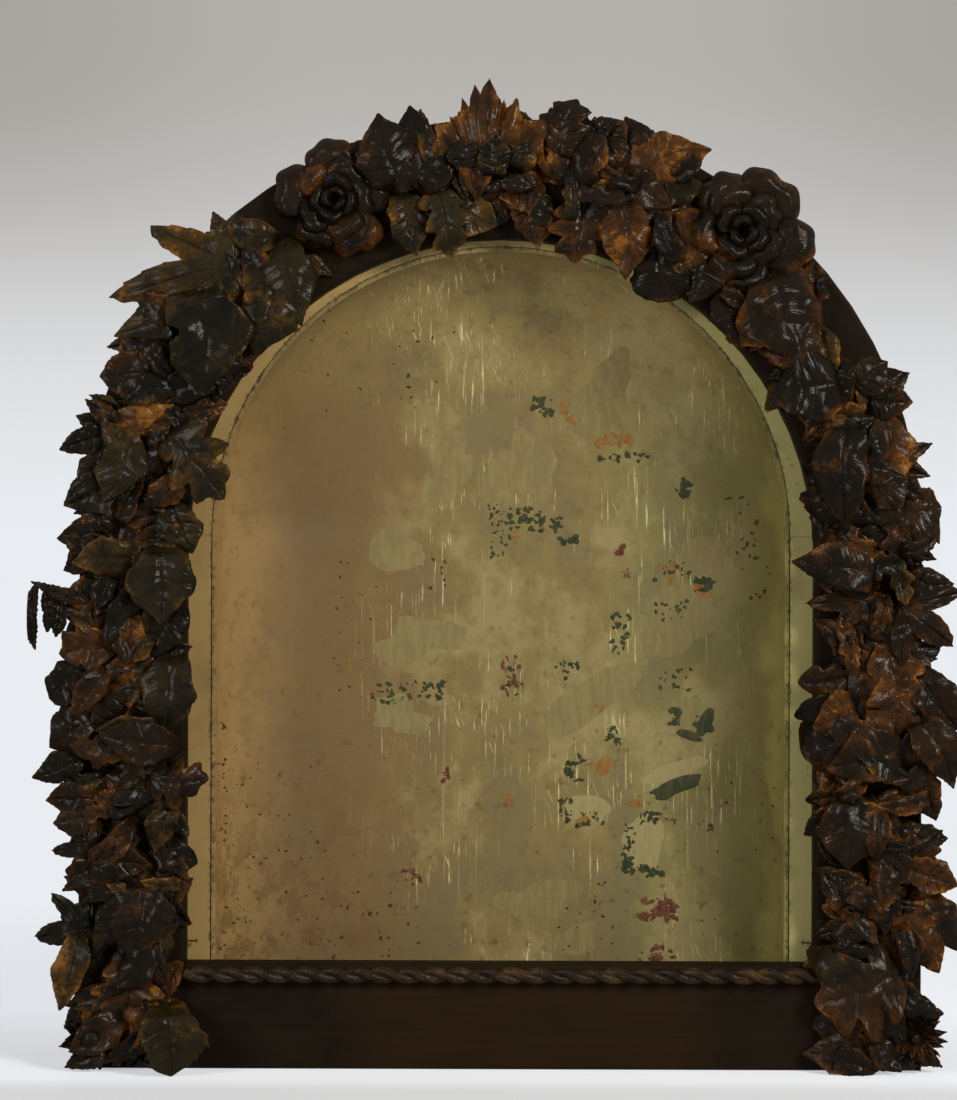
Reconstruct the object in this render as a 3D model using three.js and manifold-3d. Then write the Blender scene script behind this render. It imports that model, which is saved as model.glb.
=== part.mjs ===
// An arched leather-work shadow box: a dark wooden front board on a bentwood case,
// a coved and painted niche behind the opening, a twisted leather moulding on the rail,
// and a garland of stiffened leather leaves and roses fixed over the board.
// Millimetres. +X is the viewer's right, -Y is the front, +Z is up.
// The origin is the middle of the case floor's underside.

import * as THREE from 'three';
import { mergeVertices } from 'three/addons/utils/BufferGeometryUtils.js';
import Module from 'manifold-3d';

const wasm = await Module();
wasm.setup();

// Front board
const frameWidth = 590;
const springHeight = 371;
const bandWidth = 75;
const openingDrop = 9;
const boardThickness = 19;
const railHeight = 74;
const frontRound = 3;

// Case behind the board
const caseInset = 15;
const caseDepth = 100;
const wallThickness = 10;
const floorThickness = 12;
const backThickness = 8;

// Niche and the strips round it
const stripShow = 15.6;
const stripLap = 16;
const stripThickness = 5;
const nicheRise = 11.5;
const nicheBackGap = 4;
const nicheWall = 3;
const nicheGap = 0.8;
const nicheSetback = 1;
const flangeWidth = 40;
const flangeThickness = 3;
const coveSharpness = 2.4;

// Twisted leather moulding
const ropeRadius = 6.2;
const ropeLobeShare = 0.3;
const ropeCrestPitch = 18;
const ropeDrop = 1;
const ropeStrands = 2;
const ropeStepsPerPitch = 3;
const ropeSides = 7;

// Brads that once held the glass
const bradRadius = 0.7;
const bradLength = 14;
const bradShow = 7;
const bradHeadRadius = 1.5;
const bradHeadLength = 0.8;
const bradRise = 14;
const bradSetback = 6;
const bradSides = 6;

// Leather leaves
const leafThickness = 1.8;
const layerStep = 7;
const twigWidth = 5;
const riseShare = 0.18;
const archShare = 0.14;
const fullnessShare = 1.16;
const cupShare = 0.28;

// Roses, seed cone, tassel flower and bud
const roseLeftRadius = 34;
const roseRightRadius = 41;
const roseHeight = 24;
const coneRadius = 14;
const coneHeight = 26;
const coneRings = 4;
const scaleTopShare = 0.8;
const scaleRiseShare = 0.9;
const tasselRadius = 24;
const tasselHeight = 20;
const budRadius = 6.5;
const budLength = 34;

// Fits and curve fineness
const seam = 0.3;
const smallestDetail = 0.06;
const overrun = 1;
const archSteps = 16;
const domeSteps = 32;
const coveSteps = 6;
const flowerSides = 8;

// Where the photograph shows the frame, in its pixels
const photoMiddlePixel = 501;
const photoHalfWidthPixels = 422;
const photoSpringPixel = 540;
const photoBasePixel = 1070;

// Worked-out places
const frameRadius = frameWidth / 2;
const openingRadius = frameRadius - bandWidth;
const openingSpring = springHeight - openingDrop;
const caseRadius = frameRadius - caseInset;
const innerRadius = caseRadius - wallThickness;
const caseFrontY = -caseDepth / 2;
const caseBackY = caseDepth / 2;
const boardBackY = caseFrontY - seam;
const boardFrontY = boardBackY - boardThickness;
const faceY = boardFrontY - seam;
const stripEdge = openingRadius - stripShow;
const stripOuter = openingRadius + stripLap;
const stripBackY = caseFrontY + stripThickness;
const nicheDepth = caseDepth - nicheSetback - nicheWall - nicheBackGap - backThickness;
const nicheSpring = openingSpring + nicheRise;
const nicheOuter = stripEdge - nicheGap;
const nicheFrontY = caseFrontY + nicheSetback;
const flangeFrontY = stripBackY + seam;
const flangeOuter = stripEdge + flangeWidth;
const floorTop = floorThickness + seam;

const finish = (colour, roughness, metalness = 0) => new THREE.MeshStandardMaterial({
  color: colour,
  roughness,
  metalness,
});
const darkWood = finish(0x2b211a, 0.55);
const caseWood = finish(0x5a4430, 0.75);
const creamPaint = finish(0xb9ab7d, 0.7);
const darkLeather = finish(0x33251b, 0.42);
const greenLeather = finish(0x3d3a26, 0.45);
const orangeLeather = finish(0x7a4a22, 0.6);
const oldIron = finish(0x3a3532, 0.5, 0.9);

const shadowBox = new THREE.Group();
shadowBox.name = 'leather_flower_shadow_box';

function add(name, geometry, material) {
  const mesh = new THREE.Mesh(geometry, material);
  mesh.name = name;
  shadowBox.add(mesh);
}

function solidOf(geometry) {
  const bare = new THREE.BufferGeometry();
  bare.setAttribute('position', geometry.getAttribute('position').clone());
  if (geometry.index) bare.setIndex(geometry.index.clone());
  const merged = mergeVertices(bare);
  const mesh = new wasm.Mesh({
    numProp: 3,
    vertProperties: merged.attributes.position.array,
    triVerts: new Uint32Array(merged.index.array),
  });
  return new wasm.Manifold(mesh);
}

function geometryOf(solid) {
  const mesh = solid.simplify(smallestDetail).getMesh();
  const geometry = new THREE.BufferGeometry();
  geometry.setAttribute('position', new THREE.BufferAttribute(mesh.vertProperties, 3));
  geometry.setIndex(new THREE.BufferAttribute(mesh.triVerts, 1));
  geometry.computeVertexNormals();
  return geometry;
}

function join(solids) {
  return solids.reduce((whole, next) => whole.add(next));
}

function largestBody(solid) {
  const bodies = solid.decompose();
  return bodies.reduce((best, body) => (body.volume() > best.volume() ? body : best));
}

// Triangles that close a loop, worked from its two ends towards its middle
function capTriangles(count) {
  const triangles = [];
  let low = 0;
  let high = count - 1;
  while (high - low > 1) {
    triangles.push([low, low + 1, high]);
    low += 1;
    if (high - low > 1) {
      triangles.push([low, high - 1, high]);
      high -= 1;
    }
  }
  return triangles;
}

// Lofts closed loops of points, all with the same number of points, into one closed body.
function loft(loops) {
  const count = loops[0].length;
  const positions = loops.flat().flatMap((p) => [p.x, p.y, p.z]);
  const faces = [];
  for (let row = 0; row + 1 < loops.length; row += 1) {
    for (let k = 0; k < count; k += 1) {
      const a = row * count + k;
      const b = row * count + ((k + 1) % count);
      faces.push(a, b, b + count, a, b + count, a + count);
    }
  }
  const last = (loops.length - 1) * count;
  for (const [a, b, c] of capTriangles(count)) {
    faces.push(a, c, b);
    faces.push(last + a, last + b, last + c);
  }
  const geometry = new THREE.BufferGeometry();
  geometry.setAttribute('position', new THREE.Float32BufferAttribute(positions, 3));
  geometry.setIndex(faces);
  return geometry;
}

// A flat outline drawn in X and Z, made solid from backY forwards by thickness.
function slab(shape, backY, thickness) {
  const geometry = new THREE.ExtrudeGeometry(shape, {
    depth: thickness,
    bevelEnabled: false,
    curveSegments: archSteps,
  });
  geometry.rotateX(Math.PI / 2);
  geometry.translate(0, backY, 0);
  return solidOf(geometry);
}

function block(lowX, highX, lowY, highY, lowZ, highZ) {
  const geometry = new THREE.BoxGeometry(highX - lowX, highY - lowY, highZ - lowZ);
  geometry.translate((lowX + highX) / 2, (lowY + highY) / 2, (lowZ + highZ) / 2);
  return solidOf(geometry);
}

// An arch-topped outline standing on baseZ.
function archOutline(radius, baseZ, centreZ) {
  const shape = new THREE.Shape();
  shape.moveTo(-radius, baseZ);
  shape.lineTo(radius, baseZ);
  shape.lineTo(radius, centreZ);
  shape.absarc(0, centreZ, radius, 0, Math.PI, false);
  return shape;
}

// The front board is one arched outline with an arched opening and rounded front edges,
// sawn into two stiles, two arch segments and a rail.
function frontBoard() {
  const outline = archOutline(frameRadius, 0, springHeight);
  outline.holes.push(archOutline(openingRadius, railHeight, openingSpring));
  const geometry = new THREE.ExtrudeGeometry(outline, {
    depth: boardThickness,
    bevelEnabled: true,
    bevelThickness: frontRound,
    bevelSize: frontRound,
    bevelOffset: -frontRound,
    bevelSegments: 2,
    curveSegments: archSteps,
  });
  geometry.rotateX(Math.PI / 2);
  geometry.translate(0, boardFrontY + frontRound + boardThickness, 0);
  const front = boardFrontY - overrun;
  const top = frameWidth + springHeight;
  const trim = block(-frameWidth, frameWidth, front, boardBackY, -overrun, top);
  return solidOf(geometry).intersect(trim);
}

function bradPlace(side) {
  const wall = side * openingRadius;
  return new THREE.Vector3(wall, boardBackY - bradSetback, railHeight + bradRise);
}

function rod(radius, length, sides) {
  const geometry = new THREE.CylinderGeometry(radius, radius, length, sides);
  geometry.rotateZ(Math.PI / 2);
  return geometry;
}

function bradHole(side) {
  const place = bradPlace(side);
  const depth = bradLength - bradShow + seam;
  const geometry = rod(bradRadius + seam, depth + overrun, bradSides);
  geometry.translate(place.x + (side * (depth - overrun)) / 2, place.y, place.z);
  return solidOf(geometry);
}

function brad(side) {
  const place = bradPlace(side);
  const shank = rod(bradRadius, bradLength, bradSides);
  const middle = bradLength / 2 - bradShow;
  shank.translate(place.x + side * middle, place.y, place.z);
  const head = rod(bradHeadRadius, bradHeadLength, bradSides);
  head.translate(place.x - side * bradShow, place.y, place.z);
  return join([solidOf(shank), solidOf(head)]);
}

function addFrontBoard() {
  const board = frontBoard();
  const top = springHeight + frameWidth;
  const half = seam / 2;
  const front = boardFrontY - overrun;
  const back = boardBackY + overrun;
  const far = frameWidth;
  for (const [word, side] of [['left', -1], ['right', 1]]) {
    const [lowX, highX] = side < 0 ? [-far, -openingRadius] : [openingRadius, far];
    const stile = board.intersect(block(lowX, highX, front, back, -overrun, springHeight - half));
    add(`stile_${word}`, geometryOf(stile.subtract(bradHole(side))), darkWood);
    const [nearX, farX] = side < 0 ? [-far, -half] : [half, far];
    const segment = board.intersect(block(nearX, farX, front, back, springHeight + half, top));
    add(`arch_segment_${word}`, geometryOf(segment), darkWood);
    add(`brad_${word}`, geometryOf(brad(side)), oldIron);
  }
  const between = openingRadius - seam;
  const rail = board.intersect(block(-between, between, front, back, -overrun, railHeight + overrun));
  add('base_rail', geometryOf(rail), darkWood);
}

// Sides, bent top, floor and back of the case
function addCase() {
  for (const [word, side] of [['left', -1], ['right', 1]]) {
    const lowX = side < 0 ? -caseRadius : innerRadius;
    const panel = block(lowX, lowX + wallThickness, caseFrontY, caseBackY, 0, springHeight);
    add(`side_panel_${word}`, geometryOf(panel), caseWood);
  }
  const hoop = new THREE.Shape();
  const foot = springHeight + seam;
  hoop.moveTo(caseRadius, foot);
  hoop.absarc(0, foot, caseRadius, 0, Math.PI, false);
  hoop.lineTo(-innerRadius, foot);
  hoop.absarc(0, foot, innerRadius, Math.PI, 0, true);
  add('arch_hoop', geometryOf(slab(hoop, caseBackY, caseDepth)), caseWood);
  const inside = innerRadius - seam;
  const floor = block(-inside, inside, caseFrontY, caseBackY, 0, floorThickness);
  add('floor_board', geometryOf(floor), caseWood);
  const back = slab(archOutline(inside, floorTop, springHeight), caseBackY, backThickness);
  add('back_panel', geometryOf(back), caseWood);
}

// Half of the niche's plan curve: how far back it goes at a share of its half width.
function coveShare(acrossShare) {
  return Math.pow(1 - Math.pow(acrossShare, coveSharpness), 1 / coveSharpness);
}

// The hollow's form: a coved prism up to the springing and a coved dome above it.
function coveSolid(radius, depth, frontY, baseZ) {
  const rim = [];
  for (let step = 0; step <= coveSteps; step += 1) {
    const acrossShare = Math.cos((step / coveSteps) * (Math.PI / 2));
    rim.push(new THREE.Vector2(radius * acrossShare, depth * coveShare(acrossShare)));
  }
  const skirt = new THREE.Vector2(radius, frontY - nicheFrontY);
  const dome = new THREE.LatheGeometry([new THREE.Vector2(0, skirt.y), skirt, ...rim], domeSteps);
  dome.translate(0, nicheFrontY, nicheSpring);
  const plan = new THREE.Shape();
  plan.moveTo(skirt.x, -skirt.y);
  rim.forEach((p) => plan.lineTo(p.x, -p.y));
  rim.slice(0, -1).reverse().forEach((p) => plan.lineTo(-p.x, -p.y));
  plan.lineTo(-skirt.x, -skirt.y);
  const height = nicheSpring - baseZ;
  const prism = new THREE.ExtrudeGeometry(plan, { depth: height, bevelEnabled: false });
  prism.rotateX(Math.PI);
  prism.translate(0, nicheFrontY, nicheSpring);
  return solidOf(dome).add(solidOf(prism));
}

function addNiche() {
  const inner = coveSolid(nicheOuter - nicheWall, nicheDepth, caseFrontY, 0);
  const outer = coveSolid(nicheOuter, nicheDepth + nicheWall, nicheFrontY, floorTop);
  const flangeOutline = archOutline(flangeOuter, floorTop, nicheSpring);
  const flange = slab(flangeOutline, flangeFrontY + flangeThickness, flangeThickness);
  add('niche_shell', geometryOf(outer.add(flange).subtract(inner)), creamPaint);

  const plate = slab(archOutline(stripOuter, floorTop, openingSpring), stripBackY, stripThickness);
  const holeOutline = archOutline(stripEdge, 0, nicheSpring);
  const hole = slab(holeOutline, stripBackY + overrun, stripThickness + 2 * overrun);
  const lining = plate.subtract(hole);
  const far = frameWidth;
  const front = caseFrontY - overrun;
  const back = stripBackY + overrun;
  const half = seam / 2;
  const left = lining.intersect(block(-far, 0, front, back, 0, nicheSpring - half));
  const right = lining.intersect(block(0, far, front, back, 0, nicheSpring - half));
  const top = lining.intersect(block(-far, far, front, back, nicheSpring + half, far + springHeight));
  add('jamb_strip_left', geometryOf(left), creamPaint);
  add('jamb_strip_right', geometryOf(right), creamPaint);
  add('arch_strip', geometryOf(top), creamPaint);
}

// A two-strand twist laid along the top edge of the rail
function addRope() {
  const length = 2 * (openingRadius - seam);
  const steps = Math.round((length / ropeCrestPitch) * ropeStepsPerPitch);
  const centreY = faceY - ropeRadius;
  const centreZ = railHeight - ropeDrop - ropeRadius;
  const loops = [];
  for (let step = 0; step <= steps; step += 1) {
    const x = (step / steps - 1 / 2) * length;
    const twist = ((x / ropeCrestPitch) * 2 * Math.PI) / ropeStrands;
    const loop = [];
    for (let k = 0; k < ropeSides; k += 1) {
      const angle = (k / ropeSides) * 2 * Math.PI;
      const lobe = (1 - Math.cos(ropeStrands * (angle + twist))) / 2;
      const radius = ropeRadius * (1 - ropeLobeShare * lobe);
      const y = centreY + radius * Math.cos(angle);
      const z = centreZ + radius * Math.sin(angle);
      loop.push(new THREE.Vector3(x, y, z));
    }
    loops.push(loop);
  }
  add('rope_moulding', loft(loops), orangeLeather);
}

// Leaf outlines, base to tip: where each row meets the midrib, where it meets the edge,
// and its half width, all as shares of the leaf's length and half width.
const outlineShares = {
  strip: [[0, 0, 1], [1, 1, 1]],
  ovate: [
    [0, 0, 0.1], [0.14, 0.12, 0.56], [0.32, 0.34, 0.96], [0.54, 0.57, 1], [0.78, 0.81, 0.56],
    [1, 1, 0.05],
  ],
  plain: [[0, 0, 0.2], [0.28, 0.3, 0.96], [0.62, 0.64, 0.92], [1, 1, 0.1]],
  lance: [[0, 0, 0.2], [0.24, 0.24, 0.84], [0.62, 0.64, 0.94], [1, 1, 0.06]],
  serrate: [
    [0, 0, 0.1], [0.1, 0.06, 0.45], [0.22, 0.28, 0.85], [0.3, 0.3, 0.72], [0.42, 0.48, 1],
    [0.5, 0.5, 0.8], [0.62, 0.68, 0.86], [0.7, 0.7, 0.62], [0.82, 0.87, 0.5], [1, 1, 0.05],
  ],
  lobed: [
    [0, 0, 0.1], [0.12, 0.06, 0.3], [0.22, 0.26, 0.82], [0.34, 0.36, 0.5], [0.5, 0.56, 1],
    [0.64, 0.64, 0.46], [0.76, 0.82, 0.66], [0.86, 0.86, 0.34], [1, 1, 0.08],
  ],
  vine: [
    [0, 0, 0.1], [0.1, 0.04, 0.5], [0.28, 0.36, 1], [0.4, 0.4, 0.56], [0.58, 0.74, 0.8],
    [0.7, 0.74, 0.4], [1, 1, 0.05],
  ],
  crest: [
    [0, 0, 0.12], [0.26, 0.24, 0.4], [0.44, 0.48, 0.78], [0.56, 0.66, 1], [0.64, 0.7, 0.72],
    [0.74, 0.84, 0.58], [0.8, 0.84, 0.36], [0.9, 0.93, 0.26], [1, 1, 0.05],
  ],
  fan: [
    [0, 0, 0.12], [0.3, 0.26, 0.5], [0.5, 0.62, 1], [0.62, 0.7, 0.6], [0.8, 0.92, 0.56],
    [0.88, 0.95, 0.28], [1, 1, 0.06],
  ],
  petal: [[0, 0, 0.3], [0.35, 0.35, 0.8], [0.7, 0.68, 1], [1, 0.88, 0.66]],
};

// One blade of leather: a thin curved sheet with a raised midrib line. The lift is the
// height of its underside over the board, and grow swells it for cutting clearances.
function blade({ form, base, tip, halfWidth, lift, cup }, grow = 0) {
  const along = tip.clone().sub(base);
  const length = along.length();
  along.normalize();
  const side = new THREE.Vector2(-along.y, along.x);
  const ends = { 0: -grow, 1: length + grow };
  const reachOf = (share) => ends[share] ?? share * length;
  const point = (reach, across, height) => {
    const x = base.x + along.x * reach + side.x * across;
    const z = base.y + along.y * reach + side.y * across;
    return new THREE.Vector3(x, faceY - height, Math.max(z, seam - grow));
  };
  const thick = leafThickness + grow;
  const loops = outlineShares[form].map(([midShare, edgeShare, widthShare]) => {
    const half = halfWidth * widthShare + grow;
    const midReach = reachOf(midShare);
    const edgeReach = reachOf(edgeShare);
    const lowest = midShare === 0 ? -2 * grow : 0;
    const middle = Math.max(lowest, lift(midReach / length));
    const edge = Math.max(lowest, lift(edgeReach / length) - cup * half);
    return [
      point(edgeReach, -half, edge - grow),
      point(midReach, 0, middle - grow),
      point(edgeReach, half, edge - grow),
      point(edgeReach, half, edge + thick),
      point(midReach, 0, middle + thick),
      point(edgeReach, -half, edge + thick),
    ];
  });
  return solidOf(loft(loops));
}

// A place on the front, from the photograph's pixels, that follows the frame's sizes
function place([pixelX, pixelY]) {
  const x = ((pixelX - photoMiddlePixel) / photoHalfWidthPixels) * frameRadius;
  const above = ((photoSpringPixel - pixelY) / photoHalfWidthPixels) * frameRadius;
  const belowShare = (photoBasePixel - pixelY) / (photoBasePixel - photoSpringPixel);
  const z = pixelY < photoSpringPixel ? springHeight + above : springHeight * belowShare;
  return new THREE.Vector2(x, Math.max(z, leafThickness));
}

function leafBlade([form, basePixel, tipPixel, widthShare, layer], grow) {
  const base = place(basePixel);
  const tip = place(tipPixel);
  const length = base.distanceTo(tip);
  const height = layer * layerStep;
  const lift = (share) => {
    const rise = height * Math.min(1, share / riseShare);
    return rise + archShare * length * Math.sin(Math.PI * Math.min(1, share));
  };
  const halfWidth = (length * widthShare * fullnessShare) / 2;
  return blade({ form, base, tip, halfWidth, lift, cup: cupShare }, grow);
}

// A thin stem that lies on the board and ties a spray's leaves together
function twig(fromPixel, toPixel, grow) {
  const base = place(fromPixel);
  const tip = place(toPixel);
  const lift = () => 0;
  return blade({ form: 'strip', base, tip, halfWidth: twigWidth / 2, lift, cup: 0 }, grow);
}

function spray(leaves, grow) {
  const blades = leaves.map((leaf) => leafBlade(leaf, grow));
  const hub = leaves[0][1];
  const apart = leaves.filter((leaf) => place(leaf[1]).distanceTo(place(hub)) > twigWidth / 2);
  const twigs = apart.map((leaf) => twig(hub, leaf[1], grow));
  return join([...blades, ...twigs]);
}

// A ring of petals about a centre. Its shares are the turn of the first petal, where the
// petals root and reach, the heights of their feet and tips, their half width and their cup.
function petalRing(centre, radius, height, count, ringShares, grow) {
  const [turnShare, rootShare, reachShare, footShare, tipShare, wideShare, cup] = ringShares;
  const petals = [];
  for (let k = 0; k < count; k += 1) {
    const angle = ((k + turnShare) / count) * 2 * Math.PI;
    const outward = new THREE.Vector2(Math.cos(angle), Math.sin(angle));
    const base = centre.clone().addScaledVector(outward, radius * rootShare);
    const tip = centre.clone().addScaledVector(outward, radius * reachShare);
    const lift = (share) => height * (footShare + (tipShare - footShare) * share);
    petals.push(blade({ form: 'petal', base, tip, halfWidth: radius * wideShare, lift, cup }, grow));
  }
  return join(petals);
}

// A turned core standing out from the board, from rows of radius and height shares
function core(centre, radius, height, rows, grow) {
  const points = rows.map(([radiusShare, heightShare]) => (
    new THREE.Vector2(radius * radiusShare + (radiusShare ? grow : 0), height * heightShare)
  ));
  const foot = new THREE.Vector2(0, 0);
  const crown = new THREE.Vector2(0, height + grow);
  const geometry = new THREE.LatheGeometry([foot, ...points, crown], flowerSides);
  geometry.rotateZ(Math.PI);
  geometry.translate(centre.x, faceY, centre.y);
  return solidOf(geometry);
}

// How many petals each ring of a flower has, and the ring's shares
const roseRingShares = [
  [5, [0.1, 0.2, 1, 0.05, 0.3, 0.5, 0.1]],
  [4, [0.6, 0.16, 0.74, 0.3, 0.66, 0.44, 0]],
  [3, [0.3, 0.1, 0.46, 0.55, 0.96, 0.34, 0]],
];
const sepalRingShares = [[6, [0.2, 0.6, 1.75, 0.1, 0.35, 0.4, 0]]];
const tasselRingShares = [
  [7, [0.2, 0.26, 1, 0.1, 0.5, 0.18, 0]],
  [6, [0.7, 0.22, 0.8, 0.4, 0.9, 0.16, 0]],
];
const roseCoreShares = [[0.3, 0], [0.26, 0.5], [0.2, 0.86], [0.08, 0.9]];
const tasselCoreShares = [[0.34, 0], [0.34, 0.8], [0.2, 0.95]];
const budRimShares = [[0.35, -0.9], [0.85, -0.5], [1, 0], [0.8, 0.5], [0.4, 0.85]];

function petalRings(centre, radius, height, rings, grow) {
  return rings.map(([count, shares]) => petalRing(centre, radius, height, count, shares, grow));
}

function rose(centrePixel, radius, grow) {
  const centre = place(centrePixel);
  const petals = petalRings(centre, radius, roseHeight, roseRingShares, grow);
  return join([core(centre, radius, roseHeight, roseCoreShares, grow), ...petals]);
}

// The seed cone is a stack of scale rings that narrow towards its crown, on long sepals.
function coneFlower(centrePixel, grow) {
  const centre = place(centrePixel);
  const rows = [];
  for (let ring = 0; ring < coneRings; ring += 1) {
    const heightShare = ring / coneRings;
    const wideShare = Math.cos(heightShare * (Math.PI / 2));
    rows.push([wideShare, heightShare]);
    rows.push([wideShare * scaleTopShare, (ring + scaleRiseShare) / coneRings]);
  }
  const sepals = petalRings(centre, coneRadius, coneHeight, sepalRingShares, grow);
  return join([core(centre, coneRadius, coneHeight, rows, grow), ...sepals]);
}

// The tassel flower is a cut-leather fringe of pointed straps round a button.
function tasselFlower(centrePixel, grow) {
  const centre = place(centrePixel);
  const button = core(centre, tasselRadius, tasselHeight, tasselCoreShares, grow);
  const straps = petalRings(centre, tasselRadius, tasselHeight, tasselRingShares, grow);
  return join([button, ...straps]);
}

// The bud hangs down the board, fat in the middle, with its foot against the face.
function bud(centrePixel, grow) {
  const centre = place(centrePixel);
  const radius = budRadius + grow;
  const half = budLength / 2 + grow;
  const points = budRimShares.map(([radiusShare, lengthShare]) => (
    new THREE.Vector2(radius * radiusShare, half * lengthShare)
  ));
  const ends = [new THREE.Vector2(0, -half), ...points, new THREE.Vector2(0, half)];
  const geometry = new THREE.LatheGeometry(ends, flowerSides);
  geometry.rotateX(Math.PI / 2);
  geometry.translate(centre.x, faceY - budRadius, centre.y);
  return solidOf(geometry);
}

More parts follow.
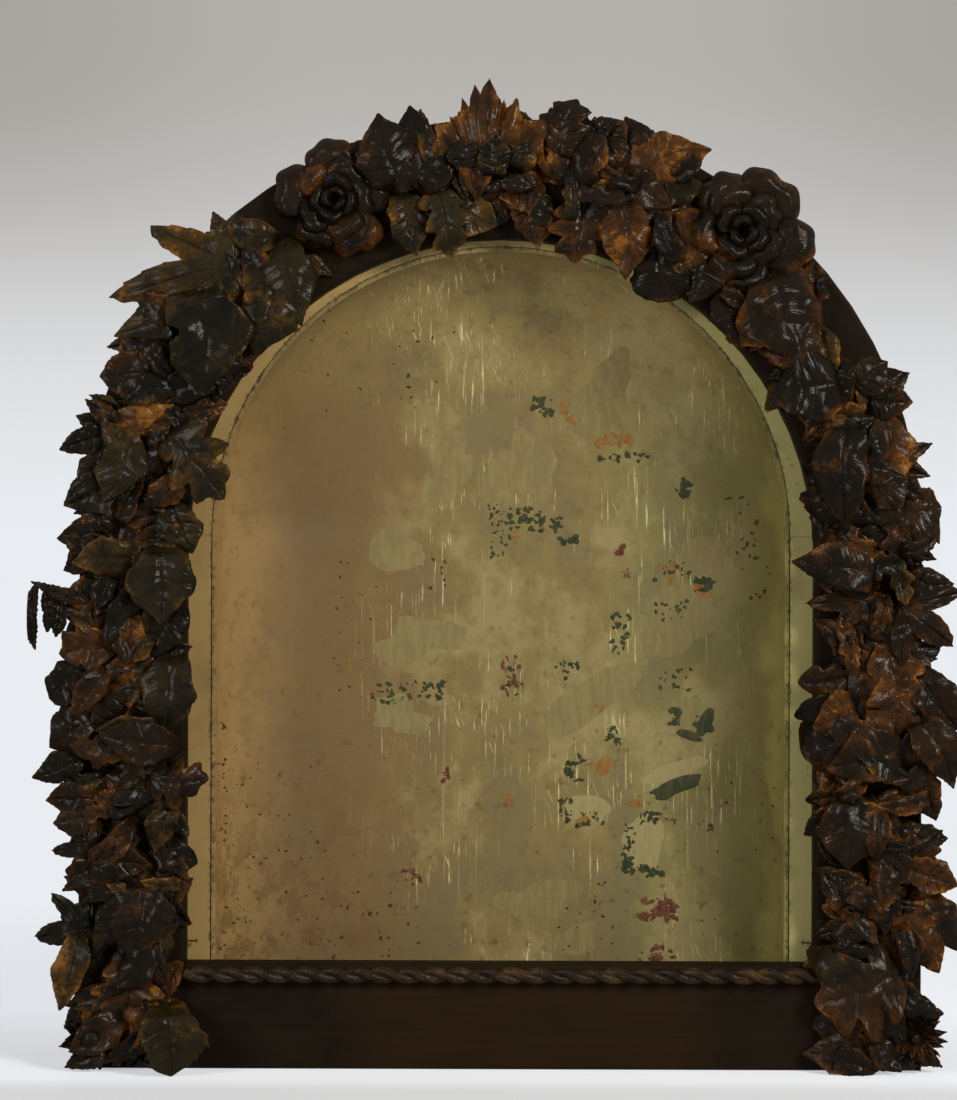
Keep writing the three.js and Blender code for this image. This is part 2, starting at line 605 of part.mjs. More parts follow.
// The garland, from the pieces that lie on top to those tucked under. A leaf's row gives
// its form, base and tip pixels, its width as a share of its length, and its layer.
const garlandPixels = [
  ['rose_left', 'rose', 'dark', [334, 203], roseLeftRadius],
  ['rose_right', 'rose', 'dark', [739, 234], roseRightRadius],
  ['cone_flower', 'cone', 'dark', [97, 1036]],
  ['tassel_flower', 'tassel', 'tan', [914, 1034]],
  ['bud', 'bud', 'dark', [853, 686]],
  ['domed_leaf_left', 'leaves', 'dark', [['ovate', [198, 280], [206, 400], 0.6, 3]]],
  ['crest_leaf_top', 'leaves', 'tan', [['crest', [486, 172], [487, 82], 1.18, 3]]],
  ['crumpled_leaf_left', 'leaves', 'dark', [['serrate', [172, 1000], [178, 1078], 0.84, 4]]],
  ['veined_leaf_right', 'leaves', 'dark', [['ovate', [768, 264], [806, 366], 0.66, 2]]],
  ['long_leaf_right', 'leaves', 'dark', [['ovate', [842, 412], [841, 532], 0.38, 3]]],
  ['pointed_leaf_right', 'leaves', 'dark', [['ovate', [884, 578], [788, 561], 0.4, 3]]],
  ['smooth_leaf_left', 'leaves', 'dark', [['ovate', [160, 543], [163, 624], 0.68, 3]]],
  ['curved_band_left', 'leaves', 'dark', [['lance', [186, 746], [104, 735], 0.44, 3]]],
  ['broad_leaf_right', 'leaves', 'dark', [['ovate', [908, 751], [825, 766], 0.6, 2]]],
  ['lobed_leaf_low_right', 'leaves', 'tan', [['lobed', [907, 967], [815, 1001], 0.9, 2]]],
  ['vine_leaf_left', 'leaves', 'green', [
    ['vine', [266, 258], [110, 301], 0.62, 1],
    ['ovate', [222, 262], [116, 339], 0.34, 1],
  ]],
  ['oval_leaf_left', 'leaves', 'green', [
    ['ovate', [284, 240], [302, 328], 0.48, 2],
    ['ovate', [274, 262], [255, 356], 0.6, 2],
  ]],
  ['smooth_leaf_low_left', 'leaves', 'dark', [['ovate', [145, 874], [135, 958], 0.66, 2]]],
  ['lobed_leaf_low_left', 'leaves', 'tan', [
    ['lobed', [134, 954], [130, 1020], 0.95, 1],
    ['plain', [134, 962], [106, 1064], 0.6, 0],
  ]],
  ['glossy_leaf_right', 'leaves', 'dark', [
    ['ovate', [850, 788], [846, 866], 0.76, 2],
    ['lance', [838, 812], [804, 832], 0.6, 1],
  ]],
  ['forked_leaf_top', 'leaves', 'dark', [
    ['ovate', [403, 196], [377, 118], 0.62, 2],
    ['ovate', [408, 194], [454, 139], 0.64, 2],
    ['lance', [412, 194], [458, 163], 0.35, 1],
  ]],
  ['spray_top_left', 'leaves', 'green', [
    ['lobed', [436, 186], [450, 259], 0.6, 2],
    ['ovate', [400, 190], [415, 257], 0.54, 1],
    ['lance', [444, 198], [496, 228], 0.66, 1],
    ['plain', [462, 150], [450, 236], 0.7, 0],
  ]],
  ['folded_leaf_top', 'leaves', 'dark', [
    ['petal', [556, 168], [570, 103], 0.62, 2],
    ['petal', [590, 164], [614, 122], 0.82, 1],
  ]],
  ['spray_top_middle', 'leaves', 'dark', [
    ['ovate', [546, 178], [636, 149], 0.6, 1],
    ['ovate', [543, 184], [498, 200], 0.75, 1],
    ['ovate', [532, 196], [538, 248], 0.66, 1],
    ['lobed', [579, 198], [573, 263], 0.85, 1],
    ['plain', [588, 176], [600, 246], 0.8, 0],
  ]],
  ['spray_top_right', 'leaves', 'tan', [
    ['ovate', [614, 197], [623, 281], 0.5, 2],
    ['ovate', [630, 198], [708, 152], 0.56, 1],
    ['plain', [648, 190], [680, 242], 0.7, 0],
  ]],
  ['spray_under_rose', 'leaves', 'dark', [
    ['ovate', [706, 250], [690, 304], 0.62, 1],
    ['petal', [662, 234], [657, 303], 0.76, 1],
    ['ovate', [734, 281], [741, 350], 0.52, 1],
  ]],
  ['spray_left_shoulder', 'leaves', 'tan', [
    ['serrate', [192, 370], [102, 379], 0.6, 1],
    ['lance', [192, 412], [111, 418], 0.38, 1],
    ['lance', [192, 410], [228, 405], 0.5, 1],
    ['ovate', [238, 338], [216, 404], 0.5, 1],
  ]],
  ['spray_left_upper', 'leaves', 'green', [
    ['lobed', [162, 428], [225, 501], 0.62, 2],
    ['ovate', [130, 432], [107, 504], 0.52, 2],
    ['lance', [128, 427], [78, 418], 0.46, 1],
    ['lance', [122, 436], [62, 452], 0.42, 1],
    ['lance', [124, 474], [66, 508], 0.55, 1],
    ['plain', [156, 440], [150, 520], 0.6, 0],
    ['lance', [172, 500], [194, 554], 0.7, 1],
  ]],
  ['spray_left_middle', 'leaves', 'tan', [
    ['lance', [118, 530], [145, 480], 0.42, 1],
    ['lance', [124, 535], [59, 541], 0.5, 1],
    ['lance', [122, 546], [66, 572], 0.56, 1],
  ]],
  ['sprig_left', 'leaves', 'dark', [
    ['lance', [98, 612], [34, 584], 0.14, 1],
    ['lance', [62, 596], [58, 638], 0.36, 1],
    ['lance', [48, 590], [49, 633], 0.3, 1],
    ['lance', [38, 586], [37, 651], 0.2, 1],
  ]],
  ['spray_left_lower', 'leaves', 'tan', [
    ['lance', [132, 606], [131, 658], 0.4, 2],
    ['lance', [122, 590], [104, 650], 0.4, 1],
    ['fan', [128, 640], [62, 656], 0.66, 1],
    ['ovate', [182, 600], [144, 662], 0.55, 1],
    ['lance', [152, 660], [104, 676], 0.6, 1],
    ['plain', [126, 560], [92, 620], 0.7, 0],
  ]],
  ['grey_leaf_left', 'leaves', 'green', [['ovate', [177, 650], [169, 740], 0.48, 2]]],
  ['spray_left_edge', 'leaves', 'dark', [
    ['petal', [98, 668], [52, 700], 0.62, 1],
    ['ovate', [100, 720], [52, 748], 0.84, 1],
    ['lance', [92, 750], [35, 778], 0.42, 1],
    ['plain', [148, 696], [88, 730], 0.7, 0],
  ]],
  ['tip_leaf_left', 'leaves', 'dark', [
    ['lobed', [144, 772], [210, 778], 0.66, 2],
    ['lance', [160, 784], [94, 789], 0.56, 1],
    ['plain', [140, 756], [122, 840], 0.6, 0],
  ]],
  ['spray_left_foot', 'leaves', 'dark', [
    ['ovate', [84, 866], [154, 863], 0.58, 2],
    ['lance', [104, 801], [49, 801], 0.54, 1],
    ['lance', [106, 820], [57, 824], 0.66, 1],
    ['vine', [108, 847], [54, 852], 0.85, 1],
    ['plain', [112, 836], [92, 912], 0.7, 0],
  ]],
  ['spray_jamb_left', 'leaves', 'tan', [
    ['lance', [165, 798], [161, 866], 0.3, 1],
    ['ovate', [171, 849], [174, 907], 0.46, 1],
    ['lance', [182, 964], [148, 995], 0.5, 1],
  ]],
  ['ivy_leaf_left', 'leaves', 'green', [
    ['vine', [106, 924], [37, 938], 1, 1],
    ['lance', [84, 926], [64, 1008], 0.34, 2],
  ]],
  ['spray_right_shoulder', 'leaves', 'dark', [
    ['ovate', [846, 385], [766, 399], 0.74, 2],
    ['lance', [850, 393], [885, 362], 0.76, 1],
    ['lance', [862, 400], [910, 402], 0.64, 1],
    ['lance', [838, 412], [802, 442], 0.74, 1],
    ['plain', [812, 350], [836, 424], 0.6, 0],
  ]],
  ['spray_right_upper', 'leaves', 'tan', [
    ['ovate', [864, 502], [904, 476], 0.7, 2],
    ['lance', [879, 405], [883, 497], 0.44, 1],
    ['fan', [884, 516], [939, 508], 1.2, 1],
    ['ovate', [858, 518], [840, 565], 0.9, 1],
    ['plain', [876, 480], [868, 560], 0.7, 0],
  ]],
  ['finger_leaf_right', 'leaves', 'dark', [
    ['vine', [884, 594], [953, 644], 1, 1],
    ['vine', [880, 597], [806, 603], 0.75, 1],
    ['lance', [889, 582], [951, 583], 0.46, 1],
    ['plain', [872, 612], [856, 670], 0.7, 0],
  ]],
  ['spray_right_middle', 'leaves', 'tan', [
    ['lobed', [886, 638], [890, 742], 0.6, 1],
    ['ovate', [858, 702], [812, 725], 0.75, 2],
    ['lance', [914, 662], [957, 728], 0.5, 1],
    ['ovate', [909, 712], [950, 785], 0.44, 2],
    ['lance', [905, 764], [935, 817], 0.52, 1],
  ]],
  ['spray_right_lower', 'leaves', 'dark', [
    ['lance', [890, 835], [946, 836], 0.54, 1],
    ['lance', [872, 796], [905, 854], 0.42, 1],
    ['ovate', [900, 860], [956, 881], 0.52, 2],
    ['lance', [910, 885], [957, 947], 0.44, 1],
    ['lance', [894, 903], [938, 969], 0.48, 1],
    ['vine', [874, 913], [816, 934], 1, 1],
    ['ovate', [872, 896], [828, 882], 0.72, 1],
  ]],
  ['low_leaf_right', 'leaves', 'dark', [
    ['ovate', [892, 1051], [804, 1051], 0.46, 1],
    ['plain', [872, 1004], [868, 1066], 0.9, 0],
  ]],
];

const leathers = { dark: darkLeather, green: greenLeather, tan: orangeLeather };

const garlandMakers = {
  rose: (grow, centrePixel, radius) => rose(centrePixel, radius, grow),
  cone: (grow, centrePixel) => coneFlower(centrePixel, grow),
  tassel: (grow, centrePixel) => tasselFlower(centrePixel, grow),
  bud: (grow, centrePixel) => bud(centrePixel, grow),
  leaves: (grow, leaves) => spray(leaves, grow),
};

function apart(a, b) {
  return ['0', '1', '2'].some((axis) => a.max[axis] < b.min[axis] || b.max[axis] < a.min[axis]);
}

// Each piece is cut back where one that lies over it passes, and keeps its main body.
function addGarland() {
  const ropeSpace = block(
    -openingRadius,
    openingRadius,
    faceY - 2 * ropeRadius - seam,
    faceY,
    railHeight - ropeDrop - 2 * ropeRadius - seam,
    railHeight - ropeDrop + seam,
  );
  const over = [ropeSpace];
  for (const [name, maker, leather, ...sizes] of garlandPixels) {
    let piece = garlandMakers[maker](0, ...sizes);
    const box = piece.boundingBox();
    over
      .filter((cutter) => !apart(cutter.boundingBox(), box))
      .forEach((cutter) => {
        piece = piece.subtract(cutter);
      });
    const clean = largestBody(piece.simplify(smallestDetail));
    add(name, geometryOf(clean), leathers[leather]);
    over.push(garlandMakers[maker](seam, ...sizes));
  }
}

addFrontBoard();
addCase();
addNiche();
addRope();
addGarland();

export default shadowBox;
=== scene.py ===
"""An arched shadow box: dark front board, painted niche, twisted moulding, leather garland."""

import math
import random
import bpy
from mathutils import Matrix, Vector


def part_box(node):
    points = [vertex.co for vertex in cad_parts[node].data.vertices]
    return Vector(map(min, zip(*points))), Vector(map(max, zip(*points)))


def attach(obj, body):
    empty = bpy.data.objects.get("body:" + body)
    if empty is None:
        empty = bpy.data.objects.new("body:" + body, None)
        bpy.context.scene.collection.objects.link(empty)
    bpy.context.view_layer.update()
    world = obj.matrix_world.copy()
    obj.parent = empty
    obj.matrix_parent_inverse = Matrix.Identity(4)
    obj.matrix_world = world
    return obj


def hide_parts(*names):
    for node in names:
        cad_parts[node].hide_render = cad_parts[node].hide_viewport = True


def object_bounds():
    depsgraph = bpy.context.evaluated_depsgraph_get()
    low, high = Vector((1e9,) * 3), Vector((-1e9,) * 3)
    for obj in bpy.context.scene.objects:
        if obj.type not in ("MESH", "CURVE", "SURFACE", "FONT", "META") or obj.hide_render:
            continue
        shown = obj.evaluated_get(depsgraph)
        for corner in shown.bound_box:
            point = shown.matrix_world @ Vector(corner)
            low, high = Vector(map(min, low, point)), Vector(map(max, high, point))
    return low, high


bl_info = {
    "name": "Leather flower shadow box",
    "version": (1, 0, 0),
    "blender": (4, 5, 0),
    "location": "3D View > Sidebar > Shadow Box",
    "description": "Builds a painted arched niche framed by leather leaves and roses",
    "category": "Add Mesh",
}

import bpy
import numpy as np
from bpy.props import FloatProperty, FloatVectorProperty, IntProperty, PointerProperty
from mathutils import Vector

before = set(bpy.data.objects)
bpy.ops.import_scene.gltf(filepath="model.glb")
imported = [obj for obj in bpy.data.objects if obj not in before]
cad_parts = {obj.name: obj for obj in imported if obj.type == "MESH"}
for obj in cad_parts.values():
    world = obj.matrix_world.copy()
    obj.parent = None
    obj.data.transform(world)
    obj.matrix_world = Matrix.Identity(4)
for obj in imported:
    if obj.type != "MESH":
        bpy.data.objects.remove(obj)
CAD_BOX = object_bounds()

# The gap between touching pieces, in metres
SEAM = 0.0003

# Places taken from the frame, in metres
STILE_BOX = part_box("stile_right")
SHELL_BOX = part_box("niche_shell")
STRIP_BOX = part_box("arch_strip")
ROPE_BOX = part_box("rope_moulding")
FRAME_RADIUS = STILE_BOX[1].x
OPENING_RADIUS = STILE_BOX[0].x
SPRING = STILE_BOX[1].z
FACE_Y = STILE_BOX[0].y - SEAM
RAIL_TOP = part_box("base_rail")[1].z

# The niche's wall, its flange and the curve of its cove
NICHE_WALL = 0.003
NICHE_FLANGE = 0.003
NICHE_FLANGE_REACH = 0.0408
NICHE_SPRING = STRIP_BOX[0].z
NICHE_FLANGE_RADIUS = SHELL_BOX[1].x
NICHE_RADIUS = NICHE_FLANGE_RADIUS - NICHE_FLANGE_REACH
NICHE_FRONT = SHELL_BOX[0].y
NICHE_DEPTH = SHELL_BOX[1].y - SHELL_BOX[0].y - NICHE_WALL
NICHE_FLOOR = SHELL_BOX[0].z
NICHE_FLANGE_FRONT = STRIP_BOX[1].y + SEAM
COVE_SHARPNESS = 2.4
ARCH_STEPS = 96

# Where the photograph shows the frame, in its pixels, and the camera: how it leans in degrees
# and how far off it stands in metres
PHOTO_WIDTH = 957
PHOTO_MIDDLE = 501
PHOTO_HALF_WIDTH = 422
PHOTO_SPRING = 540
PHOTO_BASE = 1070
PHOTO_EYE = (478.5, 550)
PHOTO_LEAN = -0.2
PIXEL = FRAME_RADIUS / PHOTO_HALF_WIDTH
EYE_DISTANCE = 2.1
EYE = Vector(((PHOTO_EYE[0] - PHOTO_MIDDLE) * PIXEL, FACE_Y - EYE_DISTANCE,
              (PHOTO_BASE - PHOTO_EYE[1]) * PIXEL))

# Leather: lengths in metres, and shares of a leaf's length or half width
LEAF_THICKNESS = 0.0016
BAND_WIDTH = FRAME_RADIUS - OPENING_RADIUS
LAYER_STEP = 0.007
RISE_SHARE = 0.18
ARCH_SHARE = 0.12
FULLNESS_SHARE = 1.16
TOOTH_SHARE = 0.03
TOOTH_SHARES = {"serrate": 4 * TOOTH_SHARE}
PALM_CUP = 0.2
PALM_WAVE = 0.15
LOWEST = 0.0006


def place(pixel):
    """The point on the front, in metres, that a pixel of the photograph shows."""
    across = (pixel[0] - PHOTO_MIDDLE) / PHOTO_HALF_WIDTH * FRAME_RADIUS
    above = (PHOTO_SPRING - pixel[1]) / PHOTO_HALF_WIDTH * FRAME_RADIUS
    below_share = (PHOTO_BASE - pixel[1]) / (PHOTO_BASE - PHOTO_SPRING)
    up = SPRING + above if pixel[1] < PHOTO_SPRING else SPRING * below_share
    return np.array([across, max(up, LOWEST)])


# In the tables below, a colon ends the head of a line and semicolons part its rows. A line
# without a head goes on with the rows of the line above.

# Leaf outlines: the form, how many teeth its edge has and how often it is smoothed, then from
# base to tip where each row meets the midrib, where it meets the edge and its half width, as
# shares.
OUTLINE_TABLE = """
ovate 7 1: 0 0 .08; .07 .05 .34; .16 .14 .64; .3 .31 .93; .46 .49 1; .62 .66 .86; .76 .8 .54; .87 .9 .24
  .94 .96 .1; 1 1 .01
plain 5 1: 0 0 .2; .15 .15 .7; .3 .32 .96; .5 .53 1; .7 .74 .78; .87 .89 .36; 1 1 .02
lance 4 1: 0 0 .14; .12 .11 .5; .3 .31 .9; .5 .52 1; .7 .73 .74; .87 .89 .32; 1 1 .01
serrate 9 0: 0 0 .1; .1 .06 .5; .22 .26 .88; .42 .48 1; .62 .68 .84; .82 .87 .46; 1 1 .03
lobed 0 1: 0 0 .1; .12 .05 .28; .19 .24 .8; .27 .33 .84; .34 .36 .44; .45 .51 .94; .54 .62 1
  .62 .63 .44; .73 .79 .66; .8 .87 .6; .86 .88 .28; .94 .96 .18; 1 1 .03
fan 7 0: 0 0 .12; .3 .26 .5; .46 .6 1; .54 .64 .84; .6 .68 .58; .7 .86 .72; .78 .9 .5; .86 .92 .26
  .94 .97 .14; 1 1 .03
petal 0 2: 0 0 .3; .2 .2 .62; .45 .44 .9; .7 .67 1; .86 .8 .95; .95 .88 .8; 1 .95 .4
"""

# Leaves whose lobes spread from the stalk: the form, the depth share between lobes, how
# strongly the edge is toothed and the leaf ribbed, then each lobe's turn in degrees, its reach
# as a share of the leaf's and its half spread in degrees.
LOBE_TABLE = """
vine .42 1.6 .8: 0 1 25; 46 .9 23; -49 .84 22; 98 .62 28; -103 .56 30
crest .77 1 .3: 0 1 9; -13 .85 6; -23 .88 8; -38 .8 6; -47 .93 13; 10 .95 6; 21 .88 7; 34 .8 8; 46 .88 9
"""

# The garland, from the pieces that lie on top to those tucked under: a node and its stain,
# then its leaves. Each has its form, base and tip pixels, width share, layer, shade, wear and,
# if it leans over, its bend.
GARLAND_TABLE = """
domed_leaf_left green: ovate 198 280 206 400 .6 3 .3 0
crest_leaf_top tan: crest 486 172 487 82 1.18 3 .6 .7
crumpled_leaf_left green: serrate 172 1000 178 1078 .84 4 .6 .3
veined_leaf_right dark: ovate 768 264 806 366 .66 2 .4 .3
long_leaf_right dark: ovate 842 412 841 532 .38 3 .2 .1
pointed_leaf_right dark: ovate 884 578 788 561 .4 3 .3 .3
smooth_leaf_left green: ovate 160 543 163 624 .68 3 .5 .1
curved_band_left dark: lance 186 746 104 735 .44 3 .5 .1
broad_leaf_right dark: ovate 908 751 825 766 .6 2 .5 .2
lobed_leaf_low_right tan: lobed 907 967 815 1001 .9 2 .5 .3
vine_leaf_left green: vine 266 258 110 301 .62 1 .7 .4; ovate 222 262 116 339 .34 1 .6 .1
oval_leaf_left green: ovate 284 240 302 328 .48 2 .6 0; ovate 274 262 255 356 .6 2 .4 .3
smooth_leaf_low_left dark: ovate 145 874 135 958 .66 2 .4 .2
lobed_leaf_low_left tan: lobed 134 954 130 1020 .95 1 .7 .5; plain 134 962 106 1064 .6 0 .4 .8
glossy_leaf_right dark: ovate 850 788 846 866 .76 2 .4 .2; lance 838 812 804 832 .6 1 .4 .4
forked_leaf_top dark: ovate 403 196 377 118 .62 2 .4 .2; ovate 408 194 454 139 .64 2 .3 .1
  lance 412 194 458 163 .35 1 .2 .1
spray_top_left green: lobed 436 186 450 259 .6 2 .7 .4; ovate 400 190 415 257 .54 1 .4 .4
  lance 444 198 496 228 .66 1 .8 .9; ovate 474 178 462 132 .7 3 .3 .1; ovate 508 176 520 134 .66 3 .3 .5
  ovate 494 186 494 138 .6 3.4 .2 .2; plain 462 150 450 236 .7 0 .6 .5
folded_leaf_top dark: fan 556 168 574 103 .72 2 .4 .3 .06; serrate 590 164 622 124 .82 1 .3 .4
spray_top_middle dark: ovate 546 178 636 149 .6 1 .4 .1; ovate 543 184 498 200 .75 1 .6 .9
  ovate 532 196 538 248 .66 1 .3 .5; lobed 579 198 573 263 .85 1 .5 .5; plain 588 176 600 246 .8 0 .5 .4
spray_top_right tan: ovate 614 197 623 281 .5 2 .5 .7; ovate 630 198 708 152 .5 1 .9 .9 .2
  plain 648 190 680 242 .7 0 .3 .3
spray_under_rose dark: ovate 706 250 690 304 .62 1 .3 .1; petal 662 234 657 303 .76 1 .2 0
  ovate 734 281 741 350 .52 1 .3 .1
spray_left_shoulder tan: serrate 192 370 102 379 .6 1 .3 .2; lance 192 412 111 418 .38 1 .9 1
  lance 192 410 228 405 .5 1 .5 .6; ovate 238 338 216 404 .5 1 .2 .1
spray_left_upper green: lobed 162 428 225 501 .62 2 .4 .4; ovate 130 432 107 504 .52 2 .6 .1
  lance 128 427 78 418 .46 1 .3 .2; lance 122 436 62 452 .42 1 .3 .2; lance 124 474 66 508 .55 1 .4 .2
  plain 156 440 150 520 .6 0 .2 .3; lance 172 500 194 554 .7 1 .5 .1
spray_left_middle tan: lance 118 530 145 480 .42 1 .4 .5; lance 124 535 59 541 .5 1 .2 .1
  lance 122 546 66 572 .56 1 .2 .1
sprig_left dark: lance 98 612 34 584 .14 1 .4 .3; lance 62 596 58 638 .36 1 .2 .1
  lance 48 590 49 633 .3 1 .2 .1; lance 38 586 37 651 .2 1 .2 .1
spray_left_lower tan: lance 132 606 131 658 .4 2 .5 .8; lance 122 590 104 650 .4 1 .5 .3
  fan 128 640 62 656 .66 1 .6 .5; ovate 182 600 144 662 .55 1 .1 0; lance 152 660 104 676 .6 1 .6 .8
  plain 126 560 92 620 .7 0 .2 .1
grey_leaf_left green: ovate 177 650 169 740 .48 2 .5 0
spray_left_edge dark: petal 98 668 52 700 .62 1 .2 0; ovate 100 720 52 748 .84 1 .4 .2
  lance 92 750 35 778 .42 1 .3 .1; plain 148 696 88 730 .7 0 .4 .1
tip_leaf_left dark: lobed 144 772 210 778 .66 2 .4 .4; lance 160 784 94 789 .56 1 .2 .1
  plain 140 756 122 840 .6 0 .4 .2
spray_left_foot dark: ovate 84 866 154 863 .58 2 .3 .3; lance 104 801 49 801 .54 1 .4 .5
  lance 106 820 57 824 .66 1 .6 .4; vine 108 847 54 852 .85 1 .4 .1; plain 112 836 92 912 .7 0 .3 .3
spray_jamb_left tan: lance 165 798 161 866 .3 1 .3 .1; ovate 171 849 174 907 .46 1 .2 .1
  lance 182 964 148 995 .5 1 .5 .5
ivy_leaf_left green: vine 106 924 37 938 1 1 .3 .2; lance 84 926 64 1008 .34 2 .4 .8
spray_right_shoulder dark: ovate 846 385 766 399 .74 2 .2 0; lance 850 393 885 362 .76 1 .5 .1
  lance 862 400 910 402 .64 1 .3 .3; lance 838 412 802 442 .74 1 .3 .3; plain 812 350 836 424 .6 0 .2 .1
spray_right_upper tan: ovate 864 502 904 476 .7 2 .4 .5; lance 879 405 883 497 .44 1 .6 .8
  fan 884 516 939 508 1.2 1 .4 .3; ovate 858 518 840 565 .9 1 .5 .5; plain 876 480 868 560 .7 0 .2 .2
finger_leaf_right dark: vine 884 594 953 644 1 1 .5 .2; vine 880 597 806 603 .75 1 .5 .2
  lance 889 582 951 583 .46 1 .4 .3; plain 872 612 856 670 .7 0 .2 .2
spray_right_middle tan: lobed 886 638 890 742 .6 1 .5 .7; ovate 858 702 812 725 .75 2 .7 .8
  lance 914 662 957 728 .5 1 .3 .2; ovate 909 712 950 785 .44 2 .4 .2; lance 905 764 935 817 .52 1 .4 .3
spray_right_lower dark: lance 890 835 946 836 .54 1 .5 .5; lance 872 796 905 854 .42 1 .3 .3
  ovate 900 860 956 881 .52 2 .5 .6; lance 910 885 957 947 .44 1 .4 .3; lance 894 903 938 969 .48 1 .4 .5
  vine 874 913 816 934 1 1 .3 .2; ovate 872 896 828 882 .72 1 .3 .2
low_leaf_right dark: ovate 892 1051 804 1051 .46 1 .4 .4; plain 872 1004 868 1066 .9 0 .4 .5
"""

# The random seed of the first piece of the garland. The pieces after it count up from there.
GARLAND_SEED = 100

# The roses: node, pixel, radius in metres and seed, then what both share
ROSES = [("rose_left", (334, 203), 0.034, 11), ("rose_right", (739, 234), 0.041, 23)]
ROSE_HEIGHT = 0.024
HEART_SHARE = 0.3
HEART_HEIGHT = 0.01

# Rings of petals from the rim in: how many, half the angle each spans, the shares of the radius
# and of the height where it starts and ends, how strongly it rolls over, and its shade, which
# grows darker towards the heart as painted shade
PETAL_RINGS = [
    (5, 0.68, (0.3, 1.16), (0.16, 0.62), 9, 0.5), (5, 0.74, (0.2, 0.82), (0.26, 0.8), 8, 0.45),
    (4, 0.95, (0.12, 0.5), (0.35, 0.94), 7, 0.3), (3, 1.2, (0.04, 0.24), (0.4, 1.0), 3, 0.1),
]

# The small flowers: their pixels, the radius and height of their cores and the reach and height
# of their straps in metres, and for each ring of straps how many, their reach, foot, top and
# half width as shares
CONE_PIXEL = (97, 1036)
CONE_CORE = (0.0136, 0.026)
TASSEL_PIXEL = (914, 1034)
TASSEL_CORE = (0.008, 0.016)
STRAP_REACH = 0.024
STRAP_HEIGHT = 0.02
CONE_STRAPS = [(9, 1.0, 0.1, 0.4, 0.2), (8, 0.8, 0.2, 0.7, 0.18)]
TASSEL_STRAPS = [(15, 1.0, 0.1, 0.4, 0.12), (13, 0.85, 0.3, 0.7, 0.12), (10, 0.6, 0.5, 1.0, 0.1)]

# The radius of a moulding strand as a share of the moulding's
STRAND_SHARE = 0.58

# The under leaves: how far along the band the green ones are many, their lowest point, how
# strongly they hang down and stray from that in radians, and the ranges that those on the band
# and those at its edges vary in, drawn in this order
GREEN_UP_TO = 0.42
LOWEST_UNDER = 0.003
HANG_SHARE = 0.8
HANG_SCATTER = 0.8
UNDER_RANGES = {
    "cup": (0.0, 0.3), "fold": (-0.2, 0.4), "shade": (0.05, 0.6), "worn": (0.0, 0.7),
    "wave": (0.1, 0.25), "curl": (-0.1, 0.3), "sway": (-0.1, 0.1), "tilt": (-0.3, 0.3),
}
EDGE_RANGES = {
    "fold": (-0.2, 0.4), "shade": (0.05, 0.6), "worn": (0.0, 0.5), "curl": (-0.3, 0.2),
    "sway": (-0.15, 0.15),
}

# Places where the photograph shows the board bare, as pixel boxes
BARE_PATCHES = [
    ((222, 180), (300, 232)),
    ((826, 250), (925, 366)),
    ((888, 380), (925, 462)),
    ((640, 128), (668, 152)),
]

# How far the stains and flakes stand off the niche's lining
FLECK_LIFT = 0.0004
FLECK_LIFTS = {"wash": 0.00012, "pale": 0.00025}

# The stains and flakes on the lining: their kind, then for each lot its pixel box, how many
# there are and their radius in pixels. A single stroke also has how round it is and how many
# degrees it leans.
RESIDUE_TABLE = """
green: 624 846 634 872 12 4; 638 866 664 876 14 4; 640 812 662 822 10 4
pale: 645 841 645 841 1 31 .68 75; 588 808 588 808 1 24 .6 0; 676 770 676 770 1 32 .3 18
wash: 690 720 690 720 1 26 .7 70; 680 620 680 620 1 44 .7 20; 706 560 706 560 1 30 .7 40
  395 552 395 552 1 30 .7 0; 424 366 424 366 1 18 .6 0; 420 640 420 640 1 44 .5 0
  520 470 520 470 1 44 .7 80; 575 940 575 940 1 26 .6 20; 400 716 400 716 1 30 .6 0
  600 400 600 400 1 46 .6 60; 540 900 540 900 1 40 .5 0; 590 700 590 700 1 44 .6 30
  450 470 450 470 1 36 .6 70
green: 678 785 678 785 1 29 .26 18; 664 792 668 796 2 9 .5 24; 706 722 706 722 1 15 .5 60
  690 735 690 735 1 13 .4 -20; 672 708 680 730 5 6; 694 716 710 732 5 6; 488 505 512 560 22 3
  515 508 545 530 16 4; 540 518 562 532 8 5; 560 534 576 546 5 5; 530 398 552 414 10 4
  596 452 648 462 12 3; 675 482 690 494 3 6; 695 575 712 592 7 6; 606 728 622 742 5 4
  566 756 584 780 8 5; 555 660 580 680 8 3; 612 612 632 655 14 4; 372 684 398 704 14 3
  400 682 446 700 22 3; 560 800 572 822 9 4; 578 812 606 828 10 4; 655 560 690 580 10 3
  656 600 690 620 9 2.5; 660 668 700 690 9 3; 626 824 636 868 12 3; 506 668 518 700 10 3
  400 376 410 388 2 4
orange: 560 402 566 416 3 5; 564 412 582 424 5 5; 596 434 632 446 8 6; 605 766 605 766 1 11 .7 60
  660 560 686 584 5 5; 510 536 520 544 3 4; 504 794 514 806 4 5; 584 820 584 820 1 8 .6 30
  626 796 646 806 5 5; 694 574 704 600 3 6; 344 652 362 680 8 3; 594 702 604 712 3 3
red: 642 898 676 920 16 6; 640 946 676 962 12 5; 402 870 422 882 9 3; 442 768 450 782 5 3
  616 542 628 554 5 4; 502 656 524 690 14 3; 620 568 630 576 3 3; 664 816 676 822 3 3
brown: 222 760 330 960 46 1.6; 330 540 380 700 16 1.6; 300 330 460 420 14 1.6; 690 780 780 940 18 1.7
  740 520 770 600 10 2.6; 286 300 330 350 5 2; 300 880 420 960 20 2.4; 560 880 620 950 10 2
  430 560 448 590 7 2.6; 700 820 720 830 3 4; 728 490 760 560 6 3; 212 700 240 950 24 1.8
"""


